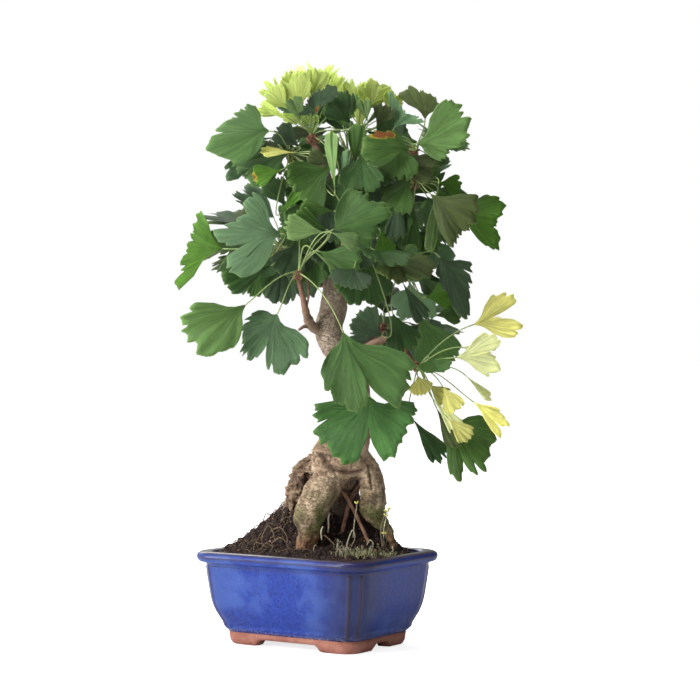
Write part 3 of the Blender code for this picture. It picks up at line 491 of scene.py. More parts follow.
# %% Leaf sizes, rims and tints
HEART = (18, 8, 330)             # the crown's middle, which grown leaves turn away from
BLADE_THICK = 0.8
STALK_RADIUS = 0.75
WAIST = 0.5                      # share of its spread that a blade has close to its stalk
CLEAR = 0.55                     # what a leaf keeps from other leaves and from wood
LAID_TRIES = 15
FILL_TRIES = 150
SHIFT_STEP = 3.0
PLAIN = (0.72, 0.93, 1.0, 0.88, 1.0, 0.93, 0.72)
WHOLE = (0.8, 0.95, 1.0, 1.0, 0.95, 0.8)
SLIM = (0.85, 1.0, 0.95, 0.8)
FAR = (0.74, 1.0, 0.8, 1.0, 0.74)   # for the rear, where a blade also has fewer faces
# Three tints are others at another brightness: dark is mid at about 0.6 and the dim blue-green is blue at
# under half, both painted shade for leaves that lie in shade; the light green is mid at about 1.7,
# painted light.
TINTS = {
    "blue": (0.141, 0.266, 0.117), "mid": (0.095, 0.205, 0.05), "dark": (0.054, 0.13, 0.03),
    "dusk": (0.066, 0.122, 0.055), "bright": (0.095, 0.24, 0.02), "young": (0.69, 0.81, 0.23),
    "pale": (0.25, 0.4, 0.135), "olive": (0.085, 0.12, 0.032), "yellow": (0.95, 0.93, 0.33),
    "cream": (0.92, 0.95, 0.54), "moss": (0.075, 0.165, 0.03), "fresh": (0.17, 0.33, 0.085),
    "verdant": (0.085, 0.225, 0.05),
}


def leaf(x, d, z, aim, length, spread, tint, rim=PLAIN, lean=-0.3, turn=None, fold=0.15, mark=None):
    """A laid leaf: its blade's foot, aim in degrees from the right, size, slopes and burn mark."""
    if turn is None:
        turn = 0.55 * math.sin(0.13 * x + 0.29 * z)
    return dict(foot=(x, d, z), aim=aim, length=length, spread=spread, tint=tint, rim=rim,
                lean=lean, turn=turn, fold=fold, mark=mark)


# %% Every tuft: its bough, spur, fill and laid leaves
# Each mass: the bough that carries it, its spur, the leaves laid on it, and the fill behind them.
MASSES = {
    "left_low": dict(
        bough=((6, -2, 250, 5.5), (-3, -8, 252, 4.8), (-8, -16, 260, 3.4), (-11, -24, 273, 2.4),
               (-15, -30, 290, 1.9)),
        spur=(-15, -31, 296), fill=0, space=((-20, -40, 290), (110, 70, 110)),
        leaves=(
        leaf(-57, -62, 270.5, 219, 58, 82, "fresh", (.66, .83, .96, .96, .9, .98, .75, .68, .41),
             lean=-.1, turn=.5),
        leaf(-32, -48, 263, 243, 55, 153, "blue", (.22, .38, .55, .62, .85, .5, .92, .8, .78, .55),
             lean=-.25),
        leaf(20, -56, 249, 289.5, 76, 103, "mid", (.37, .57, .7, .83, .91, .55, 1, .93, .88, .72),
             lean=-.15, turn=.1),
        leaf(12, -52, 330, 25, 51, 110, "mid", (.59, .69, .69, .73, 1, .82, .8, .75, .67, .27),
             lean=-.2, turn=-.2),
        leaf(11, -58, 328, 338, 25, 46, "pale", SLIM, lean=-.3),
        leaf(6, -44, 328, 172, 34, 46, "pale", SLIM, lean=-.1, turn=.5),
        leaf(8, -36, 330, 155, 30, 44, "moss", WHOLE), leaf(1, -42, 313, 335, 36, 74, "mid", WHOLE),
        leaf(-6, -50, 316, 320, 42, 9, "pale", SLIM, lean=0, turn=1.2),
        leaf(-16, -24, 322, 250, 32, 74, "dusk", WHOLE))),
    "left_mid": dict(
        bough=((13, 0, 303, 4.4), (0, -4, 305, 3.2), (-16, -6, 306, 2.4), (-30, -6, 309, 1.9)),
        spur=(-33, -7, 311), fill=3, space=((-62, 18, 315), (42, 42, 36)),
        leaves=(
        leaf(-29, -34, 327, 181, 60, 128, "blue", (.6, .69, .55, .63, .93, .56, .88, .78, .4),
             lean=-.1, turn=-.2),
        leaf(-75, -8, 315, 170, 56, 99, "bright", (.65, .58, .54, .53, .56, .64, .76, .95),
             lean=.5, turn=.6),
        leaf(-36, -2, 302, 205, 43, 34, "dark", SLIM),
        leaf(-44, -4, 300, 252, 26, 34, "moss", SLIM, lean=.1),
        leaf(-27, -10, 305, 262, 36, 44, "dusk", WHOLE))),
    "left_top": dict(
        bough=((13, 3, 345, 4.4), (0, 0, 362, 3.2), (-10, -3, 376, 2.5), (-19, -5, 386, 1.9)),
        spur=(-22, -6, 389), fill=5, space=((-42, 22, 385), (44, 48, 40)),
        leaves=(
        leaf(-38, -30, 409, 180, 53, 122, "mid", (.47, .58, .6, .64, .83, 1, .79, .68, .32),
             lean=-.1, turn=-.3, fold=-.3),
        leaf(-20, -12, 395, 207, 46, 66, "dark", PLAIN),
        leaf(-14, -8, 396, 140, 26, 60, "dusk", WHOLE, lean=.2),
        leaf(-29, -26, 378, 196, 24, 60, "bright", WHOLE, mark=(0, 1.2, .34)),
        leaf(-18, -26, 392, 180, 28, 24, "yellow", SLIM),
        leaf(-25, -14, 348, 122, 28, 60, "dark", WHOLE, lean=.1),
        leaf(-30, -20, 343, 48, 24, 30, "bright", SLIM),
        leaf(12, -30, 382, 217, 41, 84, "moss", (.78, .93, .95, .93, .95, 1, .98), lean=-.2, turn=.2),
        leaf(14, -34, 361, 95, 49, 17, "pale", (.9, 1, 1, .75), lean=-.1, turn=1.0),
        leaf(11, -24, 381, 152, 21, 50, "olive", WHOLE),
        leaf(14, -16, 345, 176, 28, 40, "moss", SLIM))),
    "top_left": dict(
        bough=None, spur=(-4, 0, 405), fill=6, space=((-8, 16, 432), (34, 40, 30)),
        leaves=(
        leaf(2, -8, 440, 82, 28, 64, "young", (.87, .6, .9, .86, .6, .74, .68, .72, 1), lean=.1),
        leaf(-14, -14, 424, 99, 31, 74, "young", (.7, .86, 1, 1, .8, .98, .7)),
        leaf(-5, 14, 440, 126, 27, 44, "cream", PLAIN, lean=.2),
        leaf(-24, -6, 431, 139, 27, 46, "young", (.9, .6, 1, .7, 1, .75), lean=.1),
        leaf(-19, -18, 415, 148, 32, 15, "young", SLIM, lean=0, turn=1),
        leaf(0, -26, 421.5, 112, 27, 136, "dusk", (.88, 1, .78, .7, .6, .5, .46, .48, .6),
             mark=(-.3, .2, .13)),
        leaf(26, -20, 415, 124, 29, 100, "dark", (.5, .9, .98, .86, .8, .86, .8, .6)))),
    "top_mid": dict(
        bough=((14, 3, 346, 4.6), (21, 4, 361, 3.6), (30, 3, 371, 3.1), (37, 2, 379, 2.7),
               (38, 1, 391, 2.2), (36, 0, 404, 1.9)),
        spur=(36, 0, 409), fill=5, space=((40, 20, 422), (30, 40, 28)),
        leaves=(
        leaf(30, -4, 428, 112, 24, 74, "young", (.9, .6, 1, .95, .66, .9, .8), lean=.1),
        leaf(43, -6, 429, 76, 23, 96, "young", (.8, 1, .7, .9, 1, .66, .85), lean=.1),
        leaf(37, -16, 414, 114, 26, 32, "pale", SLIM, lean=-.1, turn=.5),
        leaf(47, -12, 413, 62, 19, 74, "olive", WHOLE), leaf(30, -16, 380, 88, 35, 34, "moss", SLIM),
        leaf(20, -14, 361, 84, 34, 16, "blue", (.8, 1, 1, .8), lean=-.1, turn=1))),
    "top_right": dict(
        bough=((36, 2, 377, 3.2), (50, 3, 380, 2.8), (64, 0, 386, 2.3), (75, -4, 392, 1.9)),
        on="top_mid", spur=(79, -6, 395), fill=5, space=((92, 22, 402), (36, 44, 36)),
        leaves=(
        leaf(79, -28, 399, 8.5, 49, 107, "fresh", (.3, .52, .57, .56, .82, .9, .99, .99, .96, .72),
             lean=-.1, turn=.2),
        leaf(74, -38, 394, 168, 40, 88, "moss", (.36, .52, .6, .83, .97, 1, .98, .88, .64),
             lean=-.3, turn=.2, mark=(-.42, .86, .22)),
        leaf(86, -8, 418, 91, 31, 92, "olive", (.5, .6, .66, .7, .74, .85, 1, 1, .95), lean=.1),
        leaf(61, -10, 411, 54, 31, 92, "blue", (.8, .74, .6, .52, .5, .58, .66, .85, 1)),
        leaf(62, -30, 384, 348, 35, 58, "olive", PLAIN, lean=-.1, turn=.3))),
    "right_upper": dict(
        bough=((14, 1, 326, 4.8), (35, -2, 338, 3.6), (55, -6, 349, 2.7), (70, -9, 357, 2.1),
               (76, -10, 364, 1.9)),
        spur=(79, -11, 368), fill=5, space=((100, 18, 350), (40, 44, 34)),
        leaves=(
        leaf(90, -34, 359, 320, 50, 78, "olive", (.4, .98, .84, .82, .88, .87, .84, .8, .74)),
        leaf(97, -40, 368, 262, 56, 15, "pale", (.8, 1, 1, .8), lean=-.1, turn=1.1),
        leaf(112, -12, 345, 348.5, 47, 88, "bright", (.6, .97, .87, .75, .7, .8, .87, .75, .57),
             lean=.2),
        leaf(96, -14, 368, 352, 20, 66, "bright", WHOLE, lean=.1),
        leaf(72, -18, 364, 186, 41, 44, "dusk", WHOLE), leaf(66, -24, 358, 262, 37, 34, "dusk", WHOLE),
        leaf(77, -26, 352, 267, 42, 30, "mid", WHOLE, lean=-.1, turn=.3))),
    "centre_front": dict(
        bough=((15, 1, 309, 4.2), (20, -10, 313, 3.2), (28, -20, 317, 2.3), (33, -25, 319, 1.9)),
        spur=(36, -28, 321), fill=0, space=((30, -40, 300), (70, 50, 80)),
        leaves=(
        leaf(36, -36, 314, 273, 48, 80, "dark", (.73, .84, .92, .99, .88, 1, .96, .88, .77)),
        leaf(20, -38, 318, 340, 30, 74, "dusk", WHOLE), leaf(52, -24, 245, 150, 28, 100, "dusk", WHOLE),
        leaf(50, -32, 330, 285, 24, 60, "bright", WHOLE))),
    "right_mid": dict(
        bough=((15, 1, 290, 4.6), (35, 0, 297, 3.5), (52, -3, 301, 2.6), (63, -5, 302, 1.9)),
        spur=(67, -6, 302), fill=5, space=((80, 24, 280), (40, 42, 36)),
        leaves=(
        leaf(97, -26, 309, 305, 57, 92, "dusk", (.26, .3, .52, 1, .74, .63, .55, .5, .47),
             lean=0, turn=.3),
        leaf(57, -22, 297, 18, 31, 80, "mid", WHOLE),
        leaf(68, -34, 288, 300, 37, 30, "dusk", WHOLE, lean=-.1, turn=.4),
        leaf(86, -20, 276, 8, 24, 76, "bright", WHOLE),
        leaf(95, -12, 262, 6, 21, 70, "moss", WHOLE, lean=.1),
        leaf(80, -4, 264, 296, 51, 62, "mid", PLAIN, lean=.1),
        leaf(60, -20, 264, 290, 34, 66, "dark", WHOLE))),
    "right_low": dict(
        bough=((24, 0, 223, 5.0), (38, -3, 235, 3.6), (56, -8, 243, 2.9), (68, -14, 236, 2.3),
               (76, -18, 225, 1.9)),
        spur=(80, -20, 219), fill=0, space=((110, -20, 200), (90, 60, 90)),
        leaves=(
        leaf(124, -34, 254, 17, 43, 80, "yellow", (.63, .81, .95, .88, .56, .5, 1, .95, .79, .65),
             lean=.1),
        leaf(110, -44, 228, 6.5, 38, 75, "cream", (.79, .92, 1, .87, .38, 1, 1, .87, .74)),
        leaf(118, -38, 214, 318, 30, 18, "cream", SLIM, lean=.2, turn=1),
        leaf(124, -50, 193, 324, 38, 44, "yellow", (.74, .98, .68, .95, .78, .66, .55)),
        leaf(80, -40, 214, 285, 17, 96, "yellow", WHOLE, lean=-.2),
        leaf(88, -34, 207, 322, 22, 54, "yellow", WHOLE),
        leaf(93, -44, 194, 310, 33, 30, "cream", SLIM),
        leaf(104, -50, 180, 316, 25, 50, "yellow", WHOLE),
        leaf(95, -38, 188, 296, 36, 28, "olive", WHOLE),
        leaf(104, -22, 178, 318, 52, 102, "moss", (.57, .96, .68, 1, .88, .8, .81, .75, .65, .5)),
        leaf(76, -14, 179, 307, 42, 32, "dark", WHOLE))),
    "low_front": dict(
        bough=((34, -6, 146, 4.0), (39, -20, 160, 2.8), (41, -27, 176, 2.2), (41, -30, 188, 1.9)),
        spur=(41, -31, 192), fill=0, space=((40, -40, 170), (70, 50, 60)),
        leaves=(
        leaf(41, -42, 198, 270, 60, 162, "verdant", (.75, .8, .92, .93, 1, .42, .92, .77, .68, .7, .63),
             lean=-.1),)),
    "back_left": dict(
        bough=((13, 3, 282, 4.6), (0, 20, 292, 3.4), (-14, 38, 304, 2.5), (-26, 50, 314, 1.9)),
        spur=(-29, 53, 317), fill=12, space=((-48, 62, 326), (54, 52, 62)),
        leaves=(
        leaf(-24, 38, 318, 60, 40, 90, "dark", FAR), leaf(-22, 34, 306, 282, 36, 84, "dusk", FAR))),
    "back_right": dict(
        bough=((15, 3, 314, 4.6), (32, 20, 322, 3.4), (48, 38, 332, 2.5), (60, 50, 340, 1.9)),
        spur=(63, 53, 343), fill=12, space=((82, 62, 344), (54, 52, 62)),
        leaves=(
        leaf(57, 36, 352, 172, 42, 88, "dark", FAR), leaf(64, 34, 332, 262, 44, 88, "dusk", FAR),
        leaf(70, 38, 354, 62, 40, 90, "moss", FAR))),
    "back_low": dict(
        bough=((25, 2, 216, 4.6), (30, 20, 228, 3.4), (40, 38, 240, 2.5), (50, 48, 250, 1.9)),
        spur=(53, 51, 253), fill=9, space=((66, 66, 256), (56, 56, 46)), leaves=()),
    "back_mid": dict(
        bough=((14, 1, 298, 4.4), (14, 24, 304, 3.2), (16, 44, 310, 2.4), (18, 60, 318, 1.9)),
        spur=(19, 64, 320), fill=10, space=((18, 76, 326), (46, 46, 48)),
        leaves=(
        leaf(27, 50, 314, 300, 42, 92, "dark", FAR), leaf(8, 50, 322, 150, 42, 90, "dusk", FAR),
        leaf(24, 48, 332, 78, 38, 90, "dark", FAR))),
    "back_top": dict(
        bough=((13, 3, 334, 4.2), (18, 22, 352, 3.1), (22, 40, 372, 2.3), (24, 50, 386, 1.9)),
        spur=(25, 53, 390), fill=11, space=((22, 62, 408), (58, 50, 46)),
        leaves=(
        leaf(34, 38, 374, 296, 40, 92, "dark", FAR), leaf(8, 40, 380, 236, 42, 90, "dusk", FAR),
        leaf(40, 36, 396, 20, 40, 92, "dark", FAR))),
}
print("tufts:", len(MASSES), "laid leaves:", sum(len(m["leaves"]) for m in MASSES.values()))

# %% [markdown]
# ## How limbs run
# A Catmull-Rom curve passes through its own stations, so what was measured stays true. The
# coarse tubes here are never shown. They stand in for the wood when leaves look for room.

# %% Curves and coarse tubes
def seen(x, d, z):
    """The point at depth d that lines up with x and z for someone at the front."""
    far = 1 + d / EYE_DISTANCE
    return Vector((EYE_X + (x - EYE_X) * far, d, EYE_HEIGHT + (z - EYE_HEIGHT) * far))


def smooth_run(stations, steps=2, place=seen):
    """A limb's centres and radii on a Catmull-Rom curve through its stations."""
    knots = [(place(x, d, z), r) for x, d, z, r in stations]
    run = []
    for i in range(len(knots) - 1):
        p1, r1 = knots[i]
        p2, r2 = knots[i + 1]
        p0 = knots[i - 1][0] if i else p1 - (p2 - p1)
        p3 = knots[i + 2][0] if i + 2 < len(knots) else p2 + (p2 - p1)
        for step in range(steps):
            t = step / steps
            turn = (2 * p0 - 5 * p1 + 4 * p2 - p3) * t * t + (3 * p1 - p0 - 3 * p2 + p3) * t ** 3
            run.append((p1 + ((p2 - p0) * t + turn) / 2, r1 + (r2 - r1) * t))
    return run + [knots[-1]]


def tube(run, sides, grow=0.0):
    """Points and faces of a closed tapering tube with flat ends; grow swells it all round."""
    points = [point for ring in rings_along(run, sides, grow) for point in ring]
    faces = []
    last = len(points) - sides
    for ring in range(0, last, sides):
        for side in range(sides):
            follow = (side + 1) % sides
            faces.append((ring + side, ring + follow, ring + sides + follow))
            faces.append((ring + side, ring + sides + follow, ring + sides + side))
    faces.append(tuple(range(sides - 1, -1, -1)))
    faces.append(tuple(range(last, last + sides)))
    return points, faces


# %% [markdown]
# ## How a leaf is shaped
# A blade is a fan: rays from the stalk's end, whose reach follows the rim. Folding it along its
# middle and curling it down gives the side views. The closed coarse leaf tests for room.

# %% The blade's surface and the coarse closed leaf
def rim_reach(rim, t):
    """Reach of a blade's rim at t from -1 to 1: round lobes, and clefts that come to a point."""
    place = (t + 1) / 2 * (len(rim) - 1)
    i = min(int(place), len(rim) - 2)
    share = place - i
    low, high = rim[i], rim[i + 1]
    if low > high:
        low, high, share = high, low, 1 - share
    return low + (high - low) * math.sin(share * math.pi / 2) ** 0.8


def blade_point(frame, t, u):
    """Middle surface of a blade at t across its spread and u along, from the foot to the rim."""
    waist = WAIST + (1 - WAIST) * min(1.0, u / 0.6) ** 1.5
    angle = math.radians(frame["spread"] / 2) * t * waist
    reach = frame["length"] * rim_reach(frame["rim"], t) * u
    along = reach * math.cos(angle)
    side = reach * math.sin(angle)
    rise = frame["fold"] * abs(side) - frame["curl"] * along * along / frame["length"]
    return frame["foot"] + frame["ahead"] * along + frame["across"] * side + frame["face"] * rise


def leaf_solid(frame, start, margin=0.0):
    """One closed leaf: a three-sided stalk that opens into a thin blade.

    Gives its points, the faces of its blade and those of its stalk; margin swells it for a test.
    """
    columns = len(frame["rim"])
    rows = frame["rows"]
    points = []
    blade_faces = []
    stalk_faces = []

    run = stalk_run(start, frame, STALK_RADIUS + margin, frame["steps"])
    run[-1] = (frame["foot"], STALK_RADIUS + margin)
    ahead = frame["ahead"].normalized()
    across = (frame["across"] - ahead * frame["across"].dot(ahead)).normalized()
    under = ahead.cross(across)
    if under.dot(frame["face"]) > 0:
        under.negate()
    rings = []
    for i in reversed(range(len(run))):
        before = way_at(run, i)
        bend = ahead.rotation_difference(before)
        across = bend @ across
        under = bend @ under
        ahead = before
        point, radius = run[i]
        rings.append((point - across * radius, point + across * radius, point + under * radius * 1.2))
    for ring in reversed(rings):
        points += ring
    foot = len(points) - 3
    left, right, below = foot, foot + 1, foot + 2
    stalk_faces.append((0, 1, 2))
    for i in range(0, foot, 3):
        for a, b in ((0, 1), (1, 2), (2, 0)):
            stalk_faces.append((i + a, i + b, i + 3 + b, i + 3 + a))

    nudge = 0.02
    swell = 1 + margin / frame["length"]
    for sign in (1, -1):
        for u in rows:
            for c in range(columns):
                t = -1 + 2 * c / (columns - 1)
                middle = blade_point(frame, t, u)
                spread = (blade_point(frame, min(t + nudge, 1.0), u)
                          - blade_point(frame, max(t - nudge, -1.0), u))
                slope = spread.cross(middle - blade_point(frame, t, u - nudge)).normalized()
                middle = frame["foot"] + (middle - frame["foot"]) * swell
                points.append(middle + slope * sign * (BLADE_THICK / 2 + margin))

    def at(side, row, column):
        return foot + 3 + (side * len(rows) + row) * columns + column

    upper = int((points[at(0, 0, 0)] - points[at(1, 0, 0)]).dot(frame["face"]) < 0)
    lower = 1 - upper
    last = columns - 1
    half = columns // 2
    for c in range(last):
        blade_faces.append((left if c < half else right, at(upper, 0, c), at(upper, 0, c + 1)))
        blade_faces.append((below, at(lower, 0, c + 1), at(lower, 0, c)))
        for r in range(len(rows) - 1):
            for side in (0, 1):
                blade_faces.append((at(side, r, c), at(side, r, c + 1),
                                    at(side, r + 1, c + 1), at(side, r + 1, c)))
        end = len(rows) - 1
        blade_faces.append((at(upper, end, c), at(upper, end, c + 1),
                            at(lower, end, c + 1), at(lower, end, c)))
    blade_faces.append((left, at(upper, 0, half), right))
    for corner, c in ((left, 0), (right, last)):
        blade_faces.append((corner, at(upper, 0, c), at(lower, 0, c), below))
        for r in range(len(rows) - 1):
            blade_faces.append((at(upper, r, c), at(upper, r + 1, c),
                                at(lower, r + 1, c), at(lower, r, c)))
    return points, blade_faces, stalk_faces


def stalk_run(start, frame, radius, steps):
    """A leaf stalk from its spur, bending until it lines up with the blade."""
    foot = frame["foot"]
    ahead = frame["ahead"].normalized()
    span = (foot - start).length
    first = start + frame["leave"] * span * 0.35
    second = foot - ahead * span * 0.3
    run = []
    for step in range(steps + 1):
        t = step / steps
        s = 1 - t
        point = start * s ** 3 + first * 3 * s * s * t + second * 3 * s * t * t + foot * t ** 3
        run.append((point, radius))
    return run


def laid_frame(entry, spur):
    """A laid leaf's frame: its outline is true from the front, and slopes give it depth."""
    aim = math.radians(entry["aim"])
    foot = seen(*entry["foot"])
    far = 1 + entry["foot"][1] / EYE_DISTANCE
    ahead = Vector((math.cos(aim), entry["lean"], math.sin(aim))) * far
    across = Vector((-math.sin(aim), entry["turn"], math.cos(aim))) * far
    face = Vector((0.0, -1.0, 0.0))
    leave = (foot - spur).normalized() + Vector((0.0, -0.2, 0.5))
    same = {key: entry[key] for key in ("length", "spread", "rim", "fold", "tint", "mark")}
    rows = (1.0,) if entry["rim"] is FAR else (0.4, 1.0)
    return dict(same, foot=foot, ahead=ahead, across=across, face=face, leave=leave.normalized(),
                curl=0.12, steps=3, rows=rows)


def grown_frame(rng, spur, heart):
    """A leaf of the fill: it leaves the spur outwards, and its blade arches over and hangs."""
    out = (spur - heart).normalized() * 0.7
    out += strewn(rng, EVEN, EVEN, (-0.7, 1.0))
    out.normalize()
    foot = spur + out * rng.uniform(16, 40)
    ahead = (out + Vector((0.0, 0.0, rng.uniform(-1.1, 0.1)))).normalized()
    face = out * 0.7 + strewn(rng, (-0.5, 0.5), (-0.5, 0.5), (0.3, 1.2))
    face = (face - ahead * face.dot(ahead)).normalized()
    rim = (0.74, 1.0, rng.uniform(0.55, 0.95), 1.0, 0.74)
    tint = rng.choice(("mid", "mid", "moss", "moss", "dark", "dusk", "bright", "blue", "olive"))
    return dict(foot=foot, ahead=ahead, across=ahead.cross(face), face=face, leave=out,
                length=rng.uniform(36, 50), spread=rng.uniform(84, 128), rim=rim,
                curl=rng.uniform(0.1, 0.35), fold=rng.uniform(0.05, 0.3), tint=tint,
                steps=2, rows=(1.0,))


# %% [markdown]
# ## How the tufts fill
# Leaves are placed one after another. Each is tried against all the wood and all the leaves
# before it, and is left out where it would touch. The same seed gives the same crown each time.

# %% Grow every tuft
def fits(points, space):
    """Whether every point lies inside a mass's own space, an ellipsoid."""
    centre = Vector(space[0])
    for point in points:
        away = point - centre
        if sum((away[i] / space[1][i]) ** 2 for i in range(3)) > 1:
            return False
    return True


def tree_of(points, faces):
    """A search tree of faces, to test for touching."""
    return BVHTree.FromPolygons([tuple(p) for p in points], faces, epsilon=0.0)


def grow_masses(wood):
    """Leaf frames of every mass: laid ones first, then the seeded fill, each clear of the rest."""
    stalks = {}
    taken = []
    rng = random.Random(SEED)
    heart = seen(*HEART)
    for name, mass in MASSES.items():
        stalks[name] = (seen(*mass["spur"]), [])
        taken.append((name, None, tree_of(*tube(stem_run(name), 6, CLEAR))))
    for name, mass in MASSES.items():
        spur = stalks[name][0]
        for entry in mass["leaves"]:
            place_leaf(name, laid_frame(entry, spur), spur, rng, wood, taken, stalks, LAID_TRIES)
    for name, mass in MASSES.items():
        spur = stalks[name][0]
        left = mass["fill"]
        tries = FILL_TRIES * left
        while left and tries:
            tries -= 1
            frame = grown_frame(rng, spur, heart)
            if fits(leaf_solid(frame, spur)[0], mass["space"]):
                left -= place_leaf(name, frame, spur, rng, wood, taken, stalks, 1)
    return stalks, taken


def in_depth(frame, tries):
    """Move a leaf on its line of sight, step by step to both sides of its home."""
    home = frame["foot"]
    eye = Vector((EYE_X, -EYE_DISTANCE, EYE_HEIGHT))
    for attempt in range(tries):
        shift = SHIFT_STEP * ((attempt + 1) // 2) * (1 if attempt % 2 else -1)
        far = (home.y + shift + EYE_DISTANCE) / (home.y + EYE_DISTANCE)
        frame["foot"] = eye + (home - eye) * far
        yield attempt


def place_leaf(name, frame, spur, rng, wood, taken, stalks, tries):
    """Add a leaf where it is clear; a laid one may first move a little in depth."""
    jitter = strewn(rng, EVEN, EVEN, EVEN) * 0.5
    start = spur + frame["leave"] * 0.9 + jitter
    for attempt in in_depth(frame, tries):
        points, blade_faces, stalk_faces = leaf_solid(frame, start, CLEAR)
        blade_tree = tree_of(points, blade_faces)
        stalk_tree = tree_of(points, stalk_faces)
        touches = any(blade_tree.overlap(tree) or stalk_tree.overlap(tree) for tree in wood)
        touches = touches or any(
            blades and (blade_tree.overlap(blades) or stalk_tree.overlap(blades))
            or blade_tree.overlap(stems) or who != name and stalk_tree.overlap(stems)
            for who, blades, stems in taken)
        if not touches:
            stalks[name][1].append((frame, start))
            points, blade_faces, stalk_faces = leaf_solid(frame, start)
            taken.append((name, tree_of(points, blade_faces), tree_of(points, stalk_faces)))
            return 1
    return 0


def bough_run(name):
    """The bough that carries a mass; the trunk's own tip carries the one without a bough."""
    return smooth_run(MASSES[name]["bough"] or TRUNK_RUN)


def stem_run(name):
    """The short stem of a mass: it starts a gap beyond its bough's tip and ends in the spur."""
    run = bough_run(name)
    tip, radius = run[-1]
    ahead = (tip - run[-2][0]).normalized()
    spur = seen(*MASSES[name]["spur"])
    foot = tip + ahead * GAP
    return [(foot, radius * 0.95), (foot + ahead * 2.0, radius * 0.9),
            (spur, radius * 1.25), (spur + (spur - tip).normalized() * 2.2, radius * 0.8)]


def wood_trees():
    """Trees of faces for every limb, which leaves keep clear of."""
    runs = [smooth_run(TRUNK_RUN)]
    runs += [smooth_run(stations) for stations in LEG_RUNS.values()]
    runs += [smooth_run(stations) for stations in CROSS_ROOTS.values()]
    runs += [bough_run(name) for name, mass in MASSES.items() if mass["bough"]]
    return [tree_of(*tube(run, 10)) for run in runs]


wood = wood_trees()
tufts, taken = grow_masses(wood)
print("leaves grown:", sum(len(leaves) for spur, leaves in tufts.values()))

# %% [markdown]
# ## Smaller leaves between the large ones
# Between its large leaves a real tuft also carries smaller ones, and the two highest spurs have
# just opened. They grow by the same rule from the same spurs, where the crown is closed from
# the front, and are tried against everything that is there.

# %% Tuck more leaves into every tuft
TUCK_SEED = 19
TUCK_TRIES = 90
TUCKED_EACH = 9
TUCKED_LENGTH = (22.0, 40.0)
TUCK_CLEAR = 0.15
# Where the crown is closed from the front: middle x and z, and reach each way
CROWN = ((22, 392, 90, 46), (26, 318, 88, 42), (64, 262, 44, 46), (84, 214, 28, 26))
SPUR_SHOWN = (-17, 294, 15, 15)  # a bare spur that none of these leaves may hide
MORE_LEAVES = {                  # new leaves on the two highest spurs, and some before the limbs
    "top_left": (leaf(-14, 2, 434, 101, 26, 70, "young", lean=.1),
                 leaf(-5, -14, 434, 76, 27, 62, "young", lean=.1),
                 leaf(7, 4, 432, 67, 27, 80, "young", lean=.2),
                 leaf(-23, -14, 426, 133, 24, 66, "young", lean=.1),
                 leaf(-27, 0, 421, 158, 22, 54, "young"), leaf(-13, -20, 417, 112, 21, 60, "pale"),
                 leaf(-2, 8, 426, 92, 25, 60, "cream"), leaf(10, -12, 424, 58, 20, 60, "young")),
    "top_mid": (leaf(35, 2, 425, 97, 24, 80, "young", lean=.1),
                leaf(46, 2, 426, 78, 24, 76, "young", lean=.1),
                leaf(54, -6, 423, 60, 20, 70, "young"), leaf(27, -8, 422, 120, 20, 60, "young"),
                leaf(40, -22, 416, 101, 19, 50, "pale"), leaf(33, -20, 410, 84, 17, 44, "young"),
                leaf(36, -20, 392, 265, 34, 92, "dark"), leaf(24, -20, 384, 285, 30, 88, "dusk")),
    "top_right": (leaf(66, -22, 402, 262, 34, 88, "moss"), leaf(54, -20, 396, 285, 32, 90, "dark")),
    "right_upper": (leaf(60, -14, 358, 262, 36, 90, "dark"),),
    "left_mid": (leaf(-10, -20, 318, 250, 30, 80, "mid"),),
    "right_low": (leaf(116, -42, 236, 352, 28, 70, "cream"),
                  leaf(100, -46, 205, 300, 24, 60, "yellow")),
}
INNER_TRIES = 260
INNER_SHIFTS = 5
INNER_SPACE = ((-26, 84), (-24, -8), (300, 394))     # x, d and z of the inner leaves' feet
# Two of these tints are the darkened copies: painted shade inside the crown.
INNER_TINTS = ("dark", "dusk", "moss", "moss", "mid")


def under_crown(points):
    """Whether points lie within the closed part of the crown for someone at the front."""
    for p in points[::3]:
        far = 1 + p.y / EYE_DISTANCE
        x = EYE_X + (p.x - EYE_X) / far
        z = EYE_HEIGHT + (p.z - EYE_HEIGHT) / far
        inside = [((x - at_x) / wide) ** 2 + ((z - at_z) / high) ** 2 < 1
                  for at_x, at_z, wide, high in CROWN + (SPUR_SHOWN,)]
        if not any(inside[:-1]) or inside[-1] and p.y < -20:
            return False
    return True


def blocked(blade):
    """Whether a blade touches wood, another blade or a stalk."""
    return any(blade.overlap(tree) for tree in wood) or any(
        blades and blade.overlap(blades) or blade.overlap(stems) for who, blades, stems in taken)


def tuck(name, shape, tries=1):
    """Keep a leaf where its blade is free; one that is laid may first move in depth."""
    spur, leaves = tufts[name]
    start = spur + shape["leave"] * 0.9
    for attempt in in_depth(shape, tries):
        points, blade_faces, stalk_faces = leaf_solid(shape, start, TUCK_CLEAR)
        blade = tree_of(points, blade_faces)
        if not blocked(blade):
            leaves.append((shape, start))
            taken.append((name, blade, tree_of(points, stalk_faces)))
            return 1
    return 0


